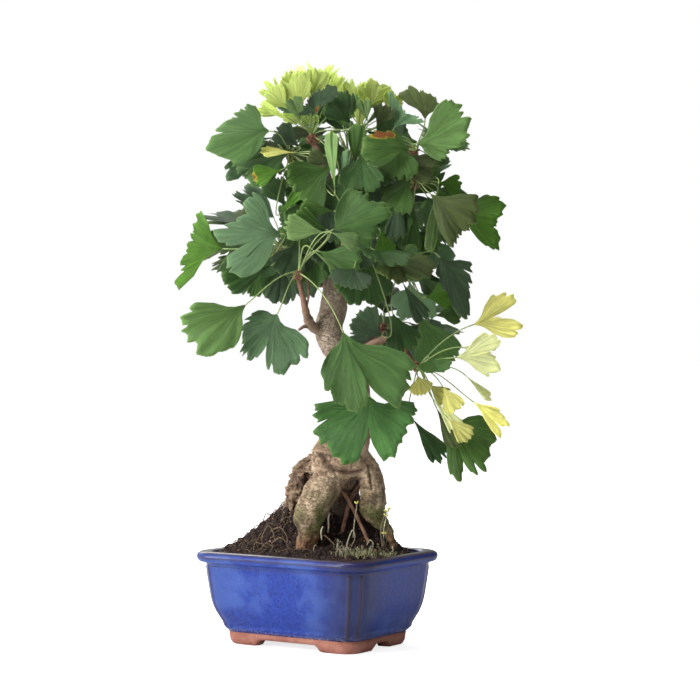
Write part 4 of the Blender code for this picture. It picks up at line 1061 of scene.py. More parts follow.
dice = random.Random(TUCK_SEED)
heart = seen(*HEART)
tucked = 0
for name, entries in MORE_LEAVES.items():
    tucked += sum(tuck(name, laid_frame(entry, tufts[name][0]), LAID_TRIES) for entry in entries)
print("laid between the others:", tucked)
for _ in range(INNER_TRIES):
    place = [dice.uniform(*reach) for reach in INNER_SPACE]
    name = min(tufts, key=lambda key: (tufts[key][0] - seen(*place)).length)
    entry = leaf(*place, dice.uniform(215, 315), dice.uniform(26, 38), dice.uniform(76, 104),
                 dice.choice(INNER_TINTS))
    shape = laid_frame(entry, tufts[name][0])
    if under_crown(leaf_solid(shape, tufts[name][0])[0]):
        tucked += tuck(name, shape, INNER_SHIFTS)
print("with inner leaves:", tucked)
for name, mass in MASSES.items():
    spur = tufts[name][0]
    wanted = TUCKED_EACH if mass["fill"] or name == "left_low" else 3
    for _ in range(TUCK_TRIES):
        shape = grown_frame(dice, spur, heart)
        shape["length"] = dice.uniform(*TUCKED_LENGTH)
        points = leaf_solid(shape, spur)[0]
        if not fits(points, mass["space"]) or not name.startswith("back") and not under_crown(points):
            continue
        if name == "top_left" and dice.random() < 0.5:
            shape["tint"] = "young"
        kept = tuck(name, shape)
        wanted -= kept
        tucked += kept
        if not wanted:
            break
print("tucked in:", tucked, "leaves now:", sum(len(leaves) for spur, leaves in tufts.values()))

# %% [markdown]
# ## The leaf's finish
# A ginkgo blade has no midrib. Fine veins fan out from the stalk and fork once on the way to
# the rim. The upper side is a satin green, the underside paler and bluer, the rim thin and
# lighter. The blade's own map holds the angle of a ray and the way along it, so the veins
# follow every leaf. A share of translucent shader lets light through.

# %% Veined leaf finishes, one for each tint
VEINS = 74.0                     # in half a turn of the fan, before they fork
GLOW = 0.22                      # share of light that passes through a grown blade
SLOTS = {"young": "young_leaves", "pale": "young_leaves",
         "yellow": "yellow_leaves", "cream": "yellow_leaves"}
YOUNG_GLOW = 0.38                # and through a young or yellow one, which is thinner


def leaf_finish(name, colour):
    made = Finish("blade_" + name, {"Roughness": 0.45, "Specular IOR Level": 0.32})
    colour = Vector(colour)
    blade_map = made.node("TexCoord", result="UV")
    ray, way = (made.node("SeparateXYZ", {}, {0: blade_map}, axis) for axis in "XY")
    tone = made.reading("tone")
    under = made.reading("under")
    fine = (ray * math.tau * VEINS * 2).maths("SINE")
    coarse = (ray * math.tau * VEINS).maths("SINE")
    forked = way.ramp(0.35, 0.55)
    vein = (coarse * (1 - forked) + fine * forked) * 0.5 + 0.5
    fan = made.node("CombineXYZ", {}, {0: ray * 46.0 + tone * 9.0, 1: way * 1.6, 2: tone * 40.0})
    streak = made.clouds(1.0, 4.0, 0.6, fan)
    blotch = made.clouds(70.0, 4.0, 0.6)
    spots = 1 - made.dots(1100.0).ramp(0.05, 0.11)
    upper = made.painted(
        made.blend(streak.ramp(0.35, 0.65), colour * 0.72, colour * 1.2),
        (vein ** 3.0 * 0.36, colour * 1.5 + Vector((0.02, 0.03, 0.01))),
        (blotch.ramp(0.35, 0.7) * 0.4, colour * 0.66),
        (spots * blotch.ramp(0.4, 0.6) * 0.35, (0.45, 0.52, 0.42)),
        ((1 - way.ramp(0.0, 0.3)) * 0.4, colour * 1.35 + Vector((0.03, 0.04, 0.0))))
    lower = made.blend(vein ** 2.0 * 0.3, colour * 1.15 + Vector((0.03, 0.04, 0.035)),
                       colour * 1.35 + Vector((0.05, 0.06, 0.04)))
    mark = made.reading("mark")
    both = made.painted(
        made.blend(under, upper, lower),
        (mark.ramp(0.3, 0.45) * 0.9, (0.5, 0.4, 0.035)),
        (mark.ramp(0.44, 0.54) * (blotch * 0.5 + 0.6), (0.24, 0.045, 0.025)),
        (way.ramp(0.955, 0.995) * 0.55, colour * 1.3 + Vector((0.09, 0.1, 0.02))))
    toned = made.node("HueSaturation", {}, {"Color": both, "Value": tone * 0.34 + 0.83})
    made.ready(toned, streak * 0.16 + 0.42 + under * 0.12,
               vein * 0.5 + streak * 1.4 + blotch * 1.5, 0.0006, 0.8)
    share = YOUNG_GLOW if name in SLOTS else GLOW
    glow = made.node("BsdfTranslucent", {}, {"Color": toned})
    mix = made.node("MixShader", {}, {0: share, 1: Wire(made, made.shader.outputs[0]), 2: glow})
    made.tree.links.new(mix.socket, made.tree.nodes["Material Output"].inputs["Surface"])
    return made


blade_finishes = {tint: leaf_finish(tint, colour) for tint, colour in TINTS.items()}
print("leaf finishes:", len(blade_finishes))

# %% [markdown]
# ## The blades
# Each blade is made again with many more rays than the coarse one: two thin sheets, closed at
# the rim, with a crenate edge and a slight ripple. Blades of one tint are joined.

# %% Fine blades, joined by tint
COLUMNS = (33, 0.52)             # rays of a blade: the fewest, and more for each degree of spread
ROWS = 8
SHEET = 0.17                     # half a blade's thickness
SCALLOP = 0.06                   # depth of the rim's scallops, as a share of its reach
NICKS = (0.05, 0.09)             # how many deeper cuts a rim has to a degree of its spread
NICK_DEPTH = (0.03, 0.13)
NICK_WIDE = (1.6, 3.6)           # in degrees of half a spread
CREASE_ROUND = 5.0               # how softly the blade bends at its middle, in mm
RIPPLE = 0.055
CUP = 0.05                       # how far a blade's face hollows from foot to rim


def fine_blade(shape, dice, rows=ROWS):
    """Points, faces, map and numbers of one thin closed blade."""
    columns = round(COLUMNS[0] + COLUMNS[1] * shape["spread"])
    t = np.linspace(-1.0, 1.0, columns)[None, :]
    u = (0.03 + 0.97 * np.linspace(0.0, 1.0, rows) ** 0.8)[:, None]
    rim = np.array([rim_reach(shape["rim"], v) for v in t[0]])
    beat = dice.uniform(0.1, 0.14) * shape["spread"]
    phase = dice.uniform(0.0, math.tau)
    wobble = beat * t[0] + phase + 0.9 * np.sin(3.1 * t[0] + phase)
    nick = np.array([dice.uniform(0.0, 0.018) for _ in range(columns)])
    for _ in range(round(shape["spread"] * dice.uniform(*NICKS))):
        away = (t[0] - dice.uniform(-0.9, 0.9)) * shape["spread"] / dice.uniform(*NICK_WIDE)
        nick = nick + dice.uniform(*NICK_DEPTH) * np.exp(-away ** 2)
    rim = rim * (1 + 0.3 * SCALLOP - SCALLOP * np.abs(np.sin(wobble)) ** 1.3 - nick)
    angle = math.radians(shape["spread"] / 2) * t * (WAIST + (1 - WAIST) * np.minimum(1, u / 0.6) ** 1.5)
    reach = shape["length"] * rim[None, :] * u
    along = reach * np.cos(angle)
    side = reach * np.sin(angle)
    bend = np.sqrt(side ** 2 + CREASE_ROUND ** 2) - CREASE_ROUND
    rise = shape["fold"] * bend - shape["curl"] * along * along / shape["length"]
    wave = np.sin(dice.uniform(3.5, 6.0) * t + phase)
    wave = wave + 0.6 * np.sin(dice.uniform(8.0, 13.0) * t + 2 * phase)
    rise = rise + RIPPLE * shape["length"] * u ** 1.6 * wave * 0.5
    rise = rise + dice.uniform(-CUP, CUP) * shape["length"] * np.sin(math.pi * u)
    axes = [np.array(shape[key]) for key in ("foot", "ahead", "across", "face")]
    middle = axes[0] + along[..., None] * axes[1] + side[..., None] * axes[2] + rise[..., None] * axes[3]
    by_row, by_column = np.gradient(middle, axis=(0, 1))
    normal = np.cross(by_column, by_row)
    normal /= np.linalg.norm(normal, axis=2, keepdims=True) + 1e-9
    thick = SHEET * (1 - 0.55 * u ** 6)[..., None]
    upper = (normal * axes[3]).sum() > 0
    sheets = (middle + normal * thick, middle - normal * thick)
    points = np.concatenate([sheet.reshape(-1, 3) for sheet in sheets])
    count = rows * columns
    faces = grid_faces(rows, columns)
    faces += [tuple(count + i for i in reversed(face)) for face in faces]
    loop = list(range(columns)) + [r * columns + columns - 1 for r in range(1, rows)]
    loop += [count - 1 - c for c in range(1, columns)] + [r * columns for r in range(rows - 2, 0, -1)]
    for p, q in zip(loop, loop[1:] + loop[:1]):
        faces.append((q, p, p + count, q + count))
    fan = 0.5 + t * shape["spread"] / 360 + 0 * u
    uvs = np.stack([fan.ravel(), (u + 0 * t).ravel()], axis=1)
    under = np.repeat([0.0, 1.0] if upper else [1.0, 0.0], count)
    mark = 0 * u * t
    if shape.get("mark"):
        at_t, at_u, size = shape["mark"]
        aside = (t - at_t) * at_u * math.radians(shape["spread"] / 2)
        mark = np.exp(-(aside ** 2 + (u - at_u) ** 2) / size ** 2)
    marks = np.concatenate([mark.ravel(), mark.ravel()])
    return points, faces, np.concatenate([uvs, uvs]), dict(under=under, mark=marks, tone=dice.random())


blades = {tint: Heap() for tint in TINTS}
homes = {tint: set() for tint in TINTS}
dice = random.Random(SEED)
for name, (spur, leaves) in tufts.items():
    for shape, start in leaves:
        points, faces, uvs, numbers = fine_blade(shape, dice)
        blades[shape["tint"]].add(points, faces, uvs, **numbers)
        homes[shape["tint"]].add("leaves_" + name)
for tint, heap in blades.items():
    if heap.count:
        piece = heap.made("blades_" + tint, blade_finishes[tint])
        settle(piece, SLOTS.get(tint, "green_leaves"), *sorted(homes[tint]))

# %% [markdown]
# ## Stalks
# A ginkgo's leaf stalk is nearly as long as its blade, slim, pale green and a little swollen
# where it leaves the spur. Each is one tube along the coarse leaf's curve.

# %% Leaf stalks
STALK_STEPS = 12
STALK_SIDES = 7


def stalk_finish():
    made = Finish("stalk_green", {"Roughness": 0.5})
    tone = made.reading("tone")
    patches = made.clouds(140.0, 2.0)
    green = made.blend(patches.ramp(0.3, 0.7), (0.14, 0.24, 0.055), (0.3, 0.4, 0.13))
    green = made.blend(tone * 0.45, green, (0.42, 0.48, 0.19))
    return made.ready(green, None, made.clouds(900.0, 2.0), 0.0001)


stalks = Heap()
for name, (spur, leaves) in tufts.items():
    for shape, start in leaves:
        line = [p for p, r in stalk_run(start, shape, STALK_RADIUS, STALK_STEPS)]
        line.append(shape["foot"] + shape["ahead"].normalized() * 1.6)
        radii = [0.46 + 0.55 * max(0.0, 1 - i / 2.5) ** 2 for i in range(len(line))]
        radii[-2:] = [0.5, 0.26]
        stalks.add(*fine_tube(zip(line, radii), STALK_SIDES), tone=dice.random())
settle(stalks.made("leaf_stalks", stalk_finish()), "green_leaves",
       *sorted("leaves_" + name for name in tufts))

# %% [markdown]
# ## Trunk and root legs
# The trunk stands on thick bare roots that once lay under ground. Fused tubes give the mass,
# and a voxel remesh melts them into one skin with soft crotches. Then every point moves in or
# out by a height that knows its limb and grain: furrows up the trunk, lumps on the legs, deep
# holes in the burl and one crease over the arch.

# %% One skin over trunk, legs and bough collars
VOXEL = 0.9
LIMB_STEPS = 6
COLLAR_KNOTS = 5
COLLAR_SWELL = 1.25


def fine_run(stations):
    return smooth_run(stations, LIMB_STEPS)


def bark_skin():
    """The trunk and legs as one closed skin, and samples along every limb inside it."""
    bulk = Heap()
    samples = []
    limbs = {"trunk": fine_run(TRUNK_RUN)}
    limbs.update({name: fine_run(stations) for name, stations in LEG_RUNS.items()})
    for name, run in limbs.items():
        bulk.add(*fine_tube(run, 20))
        travelled = 0.0
        for i, (p, r) in enumerate(run):
            samples.append((p, way_at(run, i), travelled, r, name))
            travelled += (run[min(i + 1, len(run) - 1)][0] - p).length
    for name, mass in MASSES.items():
        if mass["bough"] and not mass.get("on"):
            run = fine_run(mass["bough"])[:COLLAR_KNOTS]
            bulk.add(*fine_tube([(p, r * (1 + (COLLAR_SWELL - 1) * (1 - i / COLLAR_KNOTS)))
                                 for i, (p, r) in enumerate(run)], 12))
    skin = bulk.made("trunk_bark", bark_finish())
    melt = skin.modifiers.new("melt", "REMESH")
    melt.mode = "VOXEL"
    melt.voxel_size = VOXEL * MM
    soften = skin.modifiers.new("soften", "SMOOTH")
    soften.factor = 0.6
    soften.iterations = 4
    shown = skin.evaluated_get(bpy.context.evaluated_depsgraph_get())
    mesh = bpy.data.meshes.new_from_object(shown)
    old = skin.data
    skin.modifiers.clear()
    skin.data = mesh
    skin.data.materials.clear()
    skin.data.materials.append(old.materials[0])
    bpy.data.meshes.remove(old)
    return skin, samples


CREASE = ((2.0, 151.0), (6.0, 145.0), (14.0, 139.5), (26.0, 136.5), (35.0, 139.0))
CREASE_DEPTH = 1.9
CLEFT = ((40.0, 143.0), (42.0, 134.0), (43.0, 124.0))
UPPER_BARK = (165, 45)           # height where the smoother bark begins, and its fade
FRONT_LEGS = ("left", "right")
ALGAE = (99, 20)                 # height of the green patch on the front legs, and its reach
STAIN = (93, 9)                  # height below which their feet turn orange, and the fade
# Below the arch the back leg turns almost black and the other limbs darken towards their backs: painted
# shade.
PAINTED_SHADE_BELOW = 136                # height of the arch, below which what stands back is dark
NEAR_SAMPLES = 6                 # limb samples that a skin point chooses from
BARK_SHADES = ("algae", "foot", "rough", "shade", "upper")


def off_path(x, z, path):
    """Distance in the front view from a point to a path of x and z."""
    best = 1e9
    for (ax, az), (bx, bz) in zip(path, path[1:]):
        span = (bx - ax) ** 2 + (bz - az) ** 2
        share = clamp(((x - ax) * (bx - ax) + (z - az) * (bz - az)) / span)
        best = min(best, math.hypot(x - ax - share * (bx - ax), z - az - share * (bz - az)))
    return best


def fbm(point, octaves=3):
    return noise.fractal(point, 1.0, 2.1, octaves)


def bark_height(p, normal, sample):
    """How far the bark stands out at a point (mm), and the shades it takes there."""
    middle, axis, travelled, radius, limb = sample
    out = p - middle
    out -= axis * out.dot(axis)
    round_grain = out * 0.16 + axis * (travelled * 0.5) + Vector((3.0, 7.0, 1.0)) * len(limb)
    long_grain = out * 0.5 + axis * (travelled * 0.09) + Vector((5.0, 2.0, 9.0)) * len(limb)
    upper = clamp((p.z - UPPER_BARK[0]) / UPPER_BARK[1])
    height = fbm(p * 0.05, 2) * 1.9 * (1 - 0.75 * upper)
    height += noise.noise(p * 0.17) * (1 - 0.6 * upper)
    height += fbm(long_grain) * 0.32
    height -= abs(noise.noise(round_grain)) ** 0.6 * 0.55 * (1 - 0.4 * upper)
    rough = 0.0
    if limb == "burl":
        rough = 1.0
        height += fbm(p * 0.16, 3) * 2.6 - max(0.0, noise.noise(p * 0.22) - 0.15) * 7.0
    if normal.y < 0.2:
        crease = off_path(p.x, p.z, CREASE)
        height -= CREASE_DEPTH * bell(crease, 1.6)
        height += 1.1 * bell(crease - 4.0, 2.4) * (1.0 if p.z > 138 else 0.3)
        cleft = off_path(p.x, p.z, CLEFT)
        height -= 1.5 * bell(cleft, 1.3)
    pits = noise.voronoi(p * 0.3)[0][0]
    height -= 0.7 * bell(pits, 0.17)
    warts = noise.voronoi(p * 0.24 + Vector((40, 0, 0)))[0][0]
    height += 0.75 * bell(warts, 0.2) * (1 - 0.7 * upper)
    algae = 0.0
    foot = 0.0
    if limb in FRONT_LEGS:
        facing = 1.0 if limb == "right" else clamp(0.7 + 0.2 * normal.x - 0.4 * normal.y, 0.15)
        patch = clamp(1.0 + noise.noise(p * 0.09) * 1.8)
        algae = bell(p.z - ALGAE[0], ALGAE[1]) * facing * patch
        foot = clamp((STAIN[0] - p.z) / STAIN[1])
        if limb == "right":
            height -= 0.3
    # Painted shade under the arch: almost black on the back leg, and growing towards the back on the
    # other limbs, but not on the burl.
    shade = 0.0
    if p.z < PAINTED_SHADE_BELOW and limb != "burl":
        shade = 1.0 if limb == "back" else clamp((p.y + 2) / 22)
    return height, (algae, foot, rough, shade, upper)


def bark_finish():
    made = Finish("grey_bark", {"Specular IOR Level": 0.25})
    lumps = made.clouds(75.0, 4.0, 0.6)
    grain = made.clouds(420.0, 3.0, 0.65)
    wrinkles = made.clouds(150.0, 4.0, 0.65, made.stretched(1.0, 1.0, 2.2))
    cracks = 1 - ((wrinkles - 0.5).maths("ABSOLUTE")).ramp(0.0, 0.035)
    fine_cracks = 1 - ((made.clouds(330.0, 3.0, 0.6) - 0.5).maths("ABSOLUTE")).ramp(0.0, 0.03)
    flecks = made.dots(340.0)
    pores = 1 - made.dots(520.0).ramp(0.12, 0.3)
    wood_tone = made.blend(lumps.ramp(0.3, 0.7), (0.26, 0.17, 0.105), (0.68, 0.51, 0.352))
    upper_tone = made.blend(lumps.ramp(0.35, 0.7), (0.33, 0.25, 0.18), (0.47, 0.37, 0.28))
    young = 1 - made.reading("upper") * 0.8
    tone = made.painted(
        made.blend(made.reading("upper"), wood_tone, upper_tone),
        (wrinkles.ramp(0.5, 0.72) * young * 0.35, (0.17, 0.105, 0.06)),
        ((cracks * 0.32 + fine_cracks * 0.15) * young, (0.085, 0.05, 0.032)),
        (grain.ramp(0.48, 0.75) * young * 0.3, (0.15, 0.095, 0.055)),
        ((1 - flecks.ramp(0.05, 0.16)) * 0.45, (0.62, 0.56, 0.47)),
        (made.reading("rough") * lumps.ramp(0.35, 0.65) * 0.55, (0.16, 0.095, 0.06)),
        (made.reading("algae") * lumps.ramp(0.1, 0.45) * 0.9, (0.105, 0.125, 0.03)),
        (made.reading("foot") * 0.75, (0.34, 0.17, 0.08)),
        # painted shade under the arch, almost black
        (made.reading("shade") * 0.93, (0.012, 0.008, 0.006)),
        # painted shade in the bark's hollows
        (made.reading("hollow") * 0.8, (0.085, 0.05, 0.032)),
        (pores * 0.4, (0.12, 0.08, 0.05)))
    height = grain * 0.6 + wrinkles * 1.2 + lumps * 0.5 - pores * 0.35 - cracks * 0.6
    return made.ready(tone, lumps * 0.2 + 0.68, height, 0.0015, 0.9)


trunk, samples = bark_skin()
finder = KDTree(len(samples))
for i, sample in enumerate(samples):
    finder.insert(sample[0], i)
finder.balance()

to_front = Matrix.Rotation(-TREE_TURN, 4, "Z") @ Matrix.Translation(Vector(-POT_MIDDLE))
shades = {key: [] for key in BARK_SHADES + ("hollow",)}
normals = [Vector(n.vector) for n in trunk.data.vertex_normals]
for vertex, normal in zip(trunk.data.vertices, normals):
    p = (to_front @ vertex.co) / MM
    near = min(finder.find_n(p, NEAR_SAMPLES), key=lambda hit: hit[2] / samples[hit[1]][3])
    height, tones = bark_height(p, to_front.to_3x3() @ normal, samples[near[1]])
    vertex.co += normal * (height * MM)
    for key, value in zip(BARK_SHADES, tones):
        shades[key].append(value)
    # Painted shade in the hollows: a point that sinks in more than 0.4 mm is painted darker, the deeper
    # the more.
    shades["hollow"].append(clamp(-height - 0.4))
store(trunk.data, shades)
trunk.data.shade_smooth()
settle(trunk, "grey_bark", "trunk")

# %% [markdown]
# ## Boughs, spurs and twigs
# Young ginkgo wood is red-brown and ringed: each year's scale scars leave a ring, and the rings
# crowd near a spur's tip. Here a tube's radius swells at every ring.

# %% Ringed boughs
BOUGH_SIDES = 12
BOUGH_STEP = 0.8
RING_STEP = 1.7
RING_SWELL = 0.2
RINGED_LENGTH = 14.0             # how much of a limb is ringed, up to its tip
TIP_KNOTS = 8                    # last knots of the trunk, ringed as its own bough


def bough_finish(name="bough_bark", depth=1.0):
    made = Finish(name)
    patches = made.clouds(150.0, 4.0, 0.6)
    fibres = made.clouds(900.0, 2.0, 0.6, made.stretched(1.0, 1.0, 0.25))
    red_brown = Vector((0.115, 0.052, 0.034)) * depth
    tone = made.painted(
        made.blend(patches.ramp(0.3, 0.7), red_brown, Vector((0.29, 0.165, 0.105)) * depth),
        (made.reading("ring") * 0.5, (0.06, 0.03, 0.022)),
        (made.reading("old") * 0.75, (0.36, 0.28, 0.2)),
        (fibres.ramp(0.55, 0.8) * 0.4, Vector((0.4, 0.3, 0.22)) * depth))
    return made.ready(tone, patches * 0.25 + 0.6, fibres + patches * 0.6, 0.0005, 0.7)


def densely(run, step):
    """A run's places and radii again, at an even step along it."""
    line = []
    radii = []
    for (a, ra), (b, rb) in zip(run, run[1:]):
        count = max(1, round((b - a).length / step))
        for i in range(count):
            line.append(a.lerp(b, i / count))
            radii.append(ra + (rb - ra) * i / count)
    line.append(run[-1][0])
    radii.append(run[-1][1])
    return line, radii


def ringed(run, ring_from, age=1.0):
    """A limb whose radius swells at the scale rings from a place on to its tip."""
    line, radii = densely(run, BOUGH_STEP)
    travelled = [0.0]
    for a, b in zip(line, line[1:]):
        travelled.append(travelled[-1] + (b - a).length)
    whole = travelled[-1]
    rings = []
    old = []
    for i, way in enumerate(travelled):
        beat = 0.5 + 0.5 * math.cos(math.tau * way / RING_STEP)
        ringing = clamp((way - ring_from) / 6)
        lump = 0.96 + 0.2 * noise.noise(line[i] * 0.25) + 0.13 * noise.noise(line[i] * 0.8)
        radii[i] *= lump * (1 + RING_SWELL * beat * ringing)
        rings.append((1 - beat) * ringing)
        old.append(age * max(0.0, 1 - 1.6 * way / whole))
    points, faces = fine_tube(zip(line, radii), BOUGH_SIDES)
    spread = len(points) - len(line) * BOUGH_SIDES
    ring = np.concatenate([np.repeat(rings, BOUGH_SIDES), np.zeros(spread)])
    old = np.concatenate([np.repeat(old, BOUGH_SIDES), np.zeros(spread)])
    return points, faces, dict(ring=ring, old=old)


def add_limb(heap, *limb):
    points, faces, numbers = ringed(*limb)
    heap.add(points, faces, **numbers)


boughs = Heap()
spurs = []
for name, mass in MASSES.items():
    stem = stem_run(name)
    run = fine_run(mass["bough"]) if mass["bough"] else fine_run(TRUNK_RUN)[-TIP_KNOTS:]
    run += stem[1:3]
    length = sum((b[0] - a[0]).length for a, b in zip(run, run[1:]))
    add_limb(boughs, run, length - RINGED_LENGTH)
    spurs.append((stem[2][0], (stem[2][0] - stem[1][0]).normalized(), stem[2][1]))
BITS = {                         # stubs and thin side twigs: stations, as for a limb
    "stub_low": ((-4, -9, 252, 2.2), (-10, -13, 253, 1.6), (-15, -16, 250, 0.9)),
    "thin_low": ((-6, -14, 257, 1.3), (-9, -21, 266, 1.0), (-7, -26, 278, 0.8), (-8, -29, 292, 0.8)),
    "stub_trunk": ((3, -4, 286, 2.6), (-2, -8, 288, 1.9), (-5, -10, 287, 1.5)),
}
for stations in BITS.values():
    add_limb(boughs, fine_run(stations), 3.0, 0.3)
bough_nodes = ["bough_" + name for name, mass in MASSES.items() if mass["bough"]]
settle(boughs.made("ringed_boughs", bough_finish()), "bough_bark", *bough_nodes)

strands = Heap()
for stations in CROSS_ROOTS.values():
    add_limb(strands, fine_run(stations), math.inf, 0.0)
# The crossing roots take the boughs' colours 1.4 times lighter: painted light, to make up for the shade
# they stand in.
settle(strands.made("crossing_roots", bough_finish("root_bark", 1.4)), "root_bark", *CROSS_ROOTS)

# %% [markdown]
# ## The glazed pot
# The pot is a shallow oblong with rounded corners, a rolled rim, and two upright ribs on each
# corner. Its wall is one loft from the inside over the rim and down the outside. Glaze runs
# thin and brown over a sharp edge, so the loft stores how sharp each point is. Beside the ribs
# it runs thin and dark; at the front corner, and along the sides next to it, that dark band is
# made full strength as painted shade. The thick glaze between is cobalt with paler clouds.

# %% Loft the pot's wall
RIM_HALF = (82.5, 64.0)
RIM_CORNER = 20.0
OUTER_WALL = ((9.0, 74.0), (3.0, 74.0), (0.3, 72.0), (0.0, 69.0), (1.2, 66.0), (5.2, 64.8),
              (6.2, 63.2), (6.5, 60.0), (7.5, 51.0), (9.6, 35.0), (11.9, 27.0), (15.3, 20.0),
              (17.2, 16.5), (17.4, 13.0), (20.5, 10.0))
INNER_WALL = ((25.0, 15.0), (20.0, 23.0), (15.6, 35.0), (13.6, 51.0), (12.4, 66.0), (11.0, 72.5))
RIBS_BETWEEN = (12.0, 61.0)
RIBS_AT = (30.0, 60.0)           # degrees round each corner
RIB_STAND = 1.0
RIB_SHADE = 26.0                 # how far thin, dark glaze spreads beside the ribs
# The front corner's 1.0, against 0.35 at the others, adds painted shade to the thin glaze there.
THIN_AND_SHADE_AT = (0.35, 0.35, 0.35, 1.0)   # and how thin it is at each corner: the front one most
RIB_WIDE = 1.5                   # half width of a rib in mm
THIN_LINE = 62.6                 # height of the step below the rim, where the glaze is thin
ROLL_MIDDLE = 69.5               # height of the rolled rim's outermost edge
WORN = (9.0, 3.5)                # height of the pale, worn glaze over the foot, and its reach
CORNER_CUTS = 3                  # how many times the profile's corners are cut to round them
CORNER_STEPS = 48
SIDE_STEPS = 40
WALL_STEP = 0.9


def corner_at(inset):
    return max(RIM_CORNER - 0.3 * inset, 6.0)


def round_box(inset, z, corner, rib=0.0):
    """Points round the pot at one height, how much of a rib stands at each, and how near one is, weighted
    by its corner's thin glaze and painted shade.
    """
    points = []
    ribs = []
    near = []

    def place(quarter, bend, reach):
        half_x = (RIM_HALF[0] - inset - corner) * (1 if quarter % 4 in (0, 3) else -1)
        half_y = (RIM_HALF[1] - inset - corner) * (1 if quarter % 4 in (0, 1) else -1)
        angle = math.radians(90 * quarter + bend)
        return half_x + reach * math.cos(angle), half_y + reach * math.sin(angle), z

    for quarter in range(4):
        for step in range(CORNER_STEPS + 1):
            bend = 90 * step / CORNER_STEPS
            off = min(abs(bend - at) for at in RIBS_AT) / 90 * corner * math.pi / 2
            stand = bell(off, RIB_WIDE)
            near.append(THIN_AND_SHADE_AT[quarter] * bell(off, RIB_SHADE))
            points.append(place(quarter, bend, corner + rib * stand))
            ribs.append(stand if rib else 0.0)
        here = Vector(points[-1])
        there = Vector(place(quarter + 1, 0, corner))
        whole = (here - there).length
        for step in range(1, SIDE_STEPS):
            way = step / SIDE_STEPS
            points.append(tuple(here.lerp(there, way)))
            ribs.append(0.0)
            near.append(max(thin * bell(part * whole + corner * 0.5, RIB_SHADE) for thin, part in
                            ((THIN_AND_SHADE_AT[quarter], way), (THIN_AND_SHADE_AT[(quarter + 1) % 4], 1 - way))))
    return points, ribs, near


def even_profile(stations, step):
    """Stations of inset and height joined by rounded runs of short, even steps."""
    knots = [Vector((inset, z)) for inset, z in stations]
    for _ in range(CORNER_CUTS):
        cut = [knots[0]]
        for a, b in zip(knots, knots[1:]):
            cut += [a.lerp(b, 0.2), a.lerp(b, 0.8)]
        knots = cut + [knots[-1]]
    return densely([(knot, 0.0) for knot in knots], step)[0]


def glaze_finish():
    made = Finish("blue_glaze", {"Coat Weight": 0.25, "Coat Roughness": 0.08, "Specular IOR Level": 0.22})
    cloud = made.clouds(21.0, 3.0, 0.55)
    mottle = made.clouds(420.0, 3.0, 0.75)
    speck = made.dots(900.0)
    fine_speck = made.dots(2100.0)
    pale = cloud.ramp(0.5, 0.66)
    low = made.reading("low")
    tone = made.painted(
        made.blend(mottle.ramp(0.3, 0.7), (0.006, 0.022, 0.18), (0.012, 0.046, 0.32)),
        (pale * 0.55, (0.062, 0.13, 0.42)),
        ((1 - speck.ramp(0.08, 0.22)) * (pale * 0.6 + 0.12), (0.16, 0.26, 0.55)),
        ((1 - fine_speck.ramp(0.1, 0.25)) * 0.35, (0.003, 0.008, 0.075)),
        # thin glaze beside the ribs, with painted shade at the front corner and the sides next to it
        (made.reading("thin") * (mottle * 0.3 + 0.65), (0.014, 0.018, 0.07)),
        (made.reading("edge") * (mottle * 0.4 + 0.75), (0.035, 0.019, 0.022)),
        (low * mottle.ramp(0.5, 0.62) * 0.8, (0.3, 0.33, 0.42)))
    dimples = made.clouds(130.0, 3.0, 0.6)
    pinholes = 1 - made.dots(520.0).ramp(0.03, 0.09)
    return made.ready(tone, mottle * 0.22 + 0.22 + low * 0.12,
                      dimples + mottle * 0.3 - pinholes * 0.6, 0.0005, 0.45)


profile = even_profile(INNER_WALL + OUTER_WALL, WALL_STEP)
rows = []
edges = []
shades = []
lows = []
for i, (inset, z) in enumerate(profile):
    inside = i < len(profile) // 3 and z < 73.9 or z > 73.0
    rib_foot = max(0.0, (z - RIBS_BETWEEN[0]) / 3)
    rib_top = max(0.0, (RIBS_BETWEEN[1] - z) / 3 + 1)
    ribbed = RIB_STAND * min(1.0, rib_foot, rib_top)
    ring, ribs, near = round_box(inset, z, corner_at(inset), 0.0 if inside else min(ribbed, RIB_STAND))
    lines = 0.0 if inside else bell(z - THIN_LINE, 0.5)
    rim = math.exp(-(max(0.0, 1.2 - inset) / 1.3) ** 2 - ((z - 73.8) / 1.5) ** 2)
    rim += bell(inset, 0.7) * 0.7 * bell(z - ROLL_MIDDLE, 1.2)
    rows.append(ring)
    # Inside the pot and over the rim's top the glaze is darkened by an even 0.3.
    shades.append([0.3 if inside else value for value in near])
    edges.append([min(1.0, max(rim, rib * 0.8, lines * 0.6)) for rib in ribs])
    lows.append([bell(z - WORN[0], WORN[1])] * len(ring))
points, faces = stacked(rows)
faces.append(tuple(range(len(points) - len(rows[0]), len(points))))
pot = one_piece("glazed_pot", glaze_finish(), points, faces, edge=np.concatenate(edges),
                thin=np.concatenate(shades), low=np.concatenate(lows))
settle(pot, "blue_glaze", "pot")

# %% [markdown]
# ## The bare foot
# Below the glaze a ring of bare red clay carries the pot on four corner feet, with a low arch
# between each two. The clay is matt and sandy.

# %% Foot ring with rounded arches
FOOT_TOP = 9.7
FOOT_OUTER = ((20.2, 9.7), (21.0, 3.0), (22.2, 0.7), (23.0, 0.0))
FOOT_INNER = 33.0
ARCH_RISE = 5.0
FOOT_LENGTH = 32.0
ARCH_ROUND = 4.5


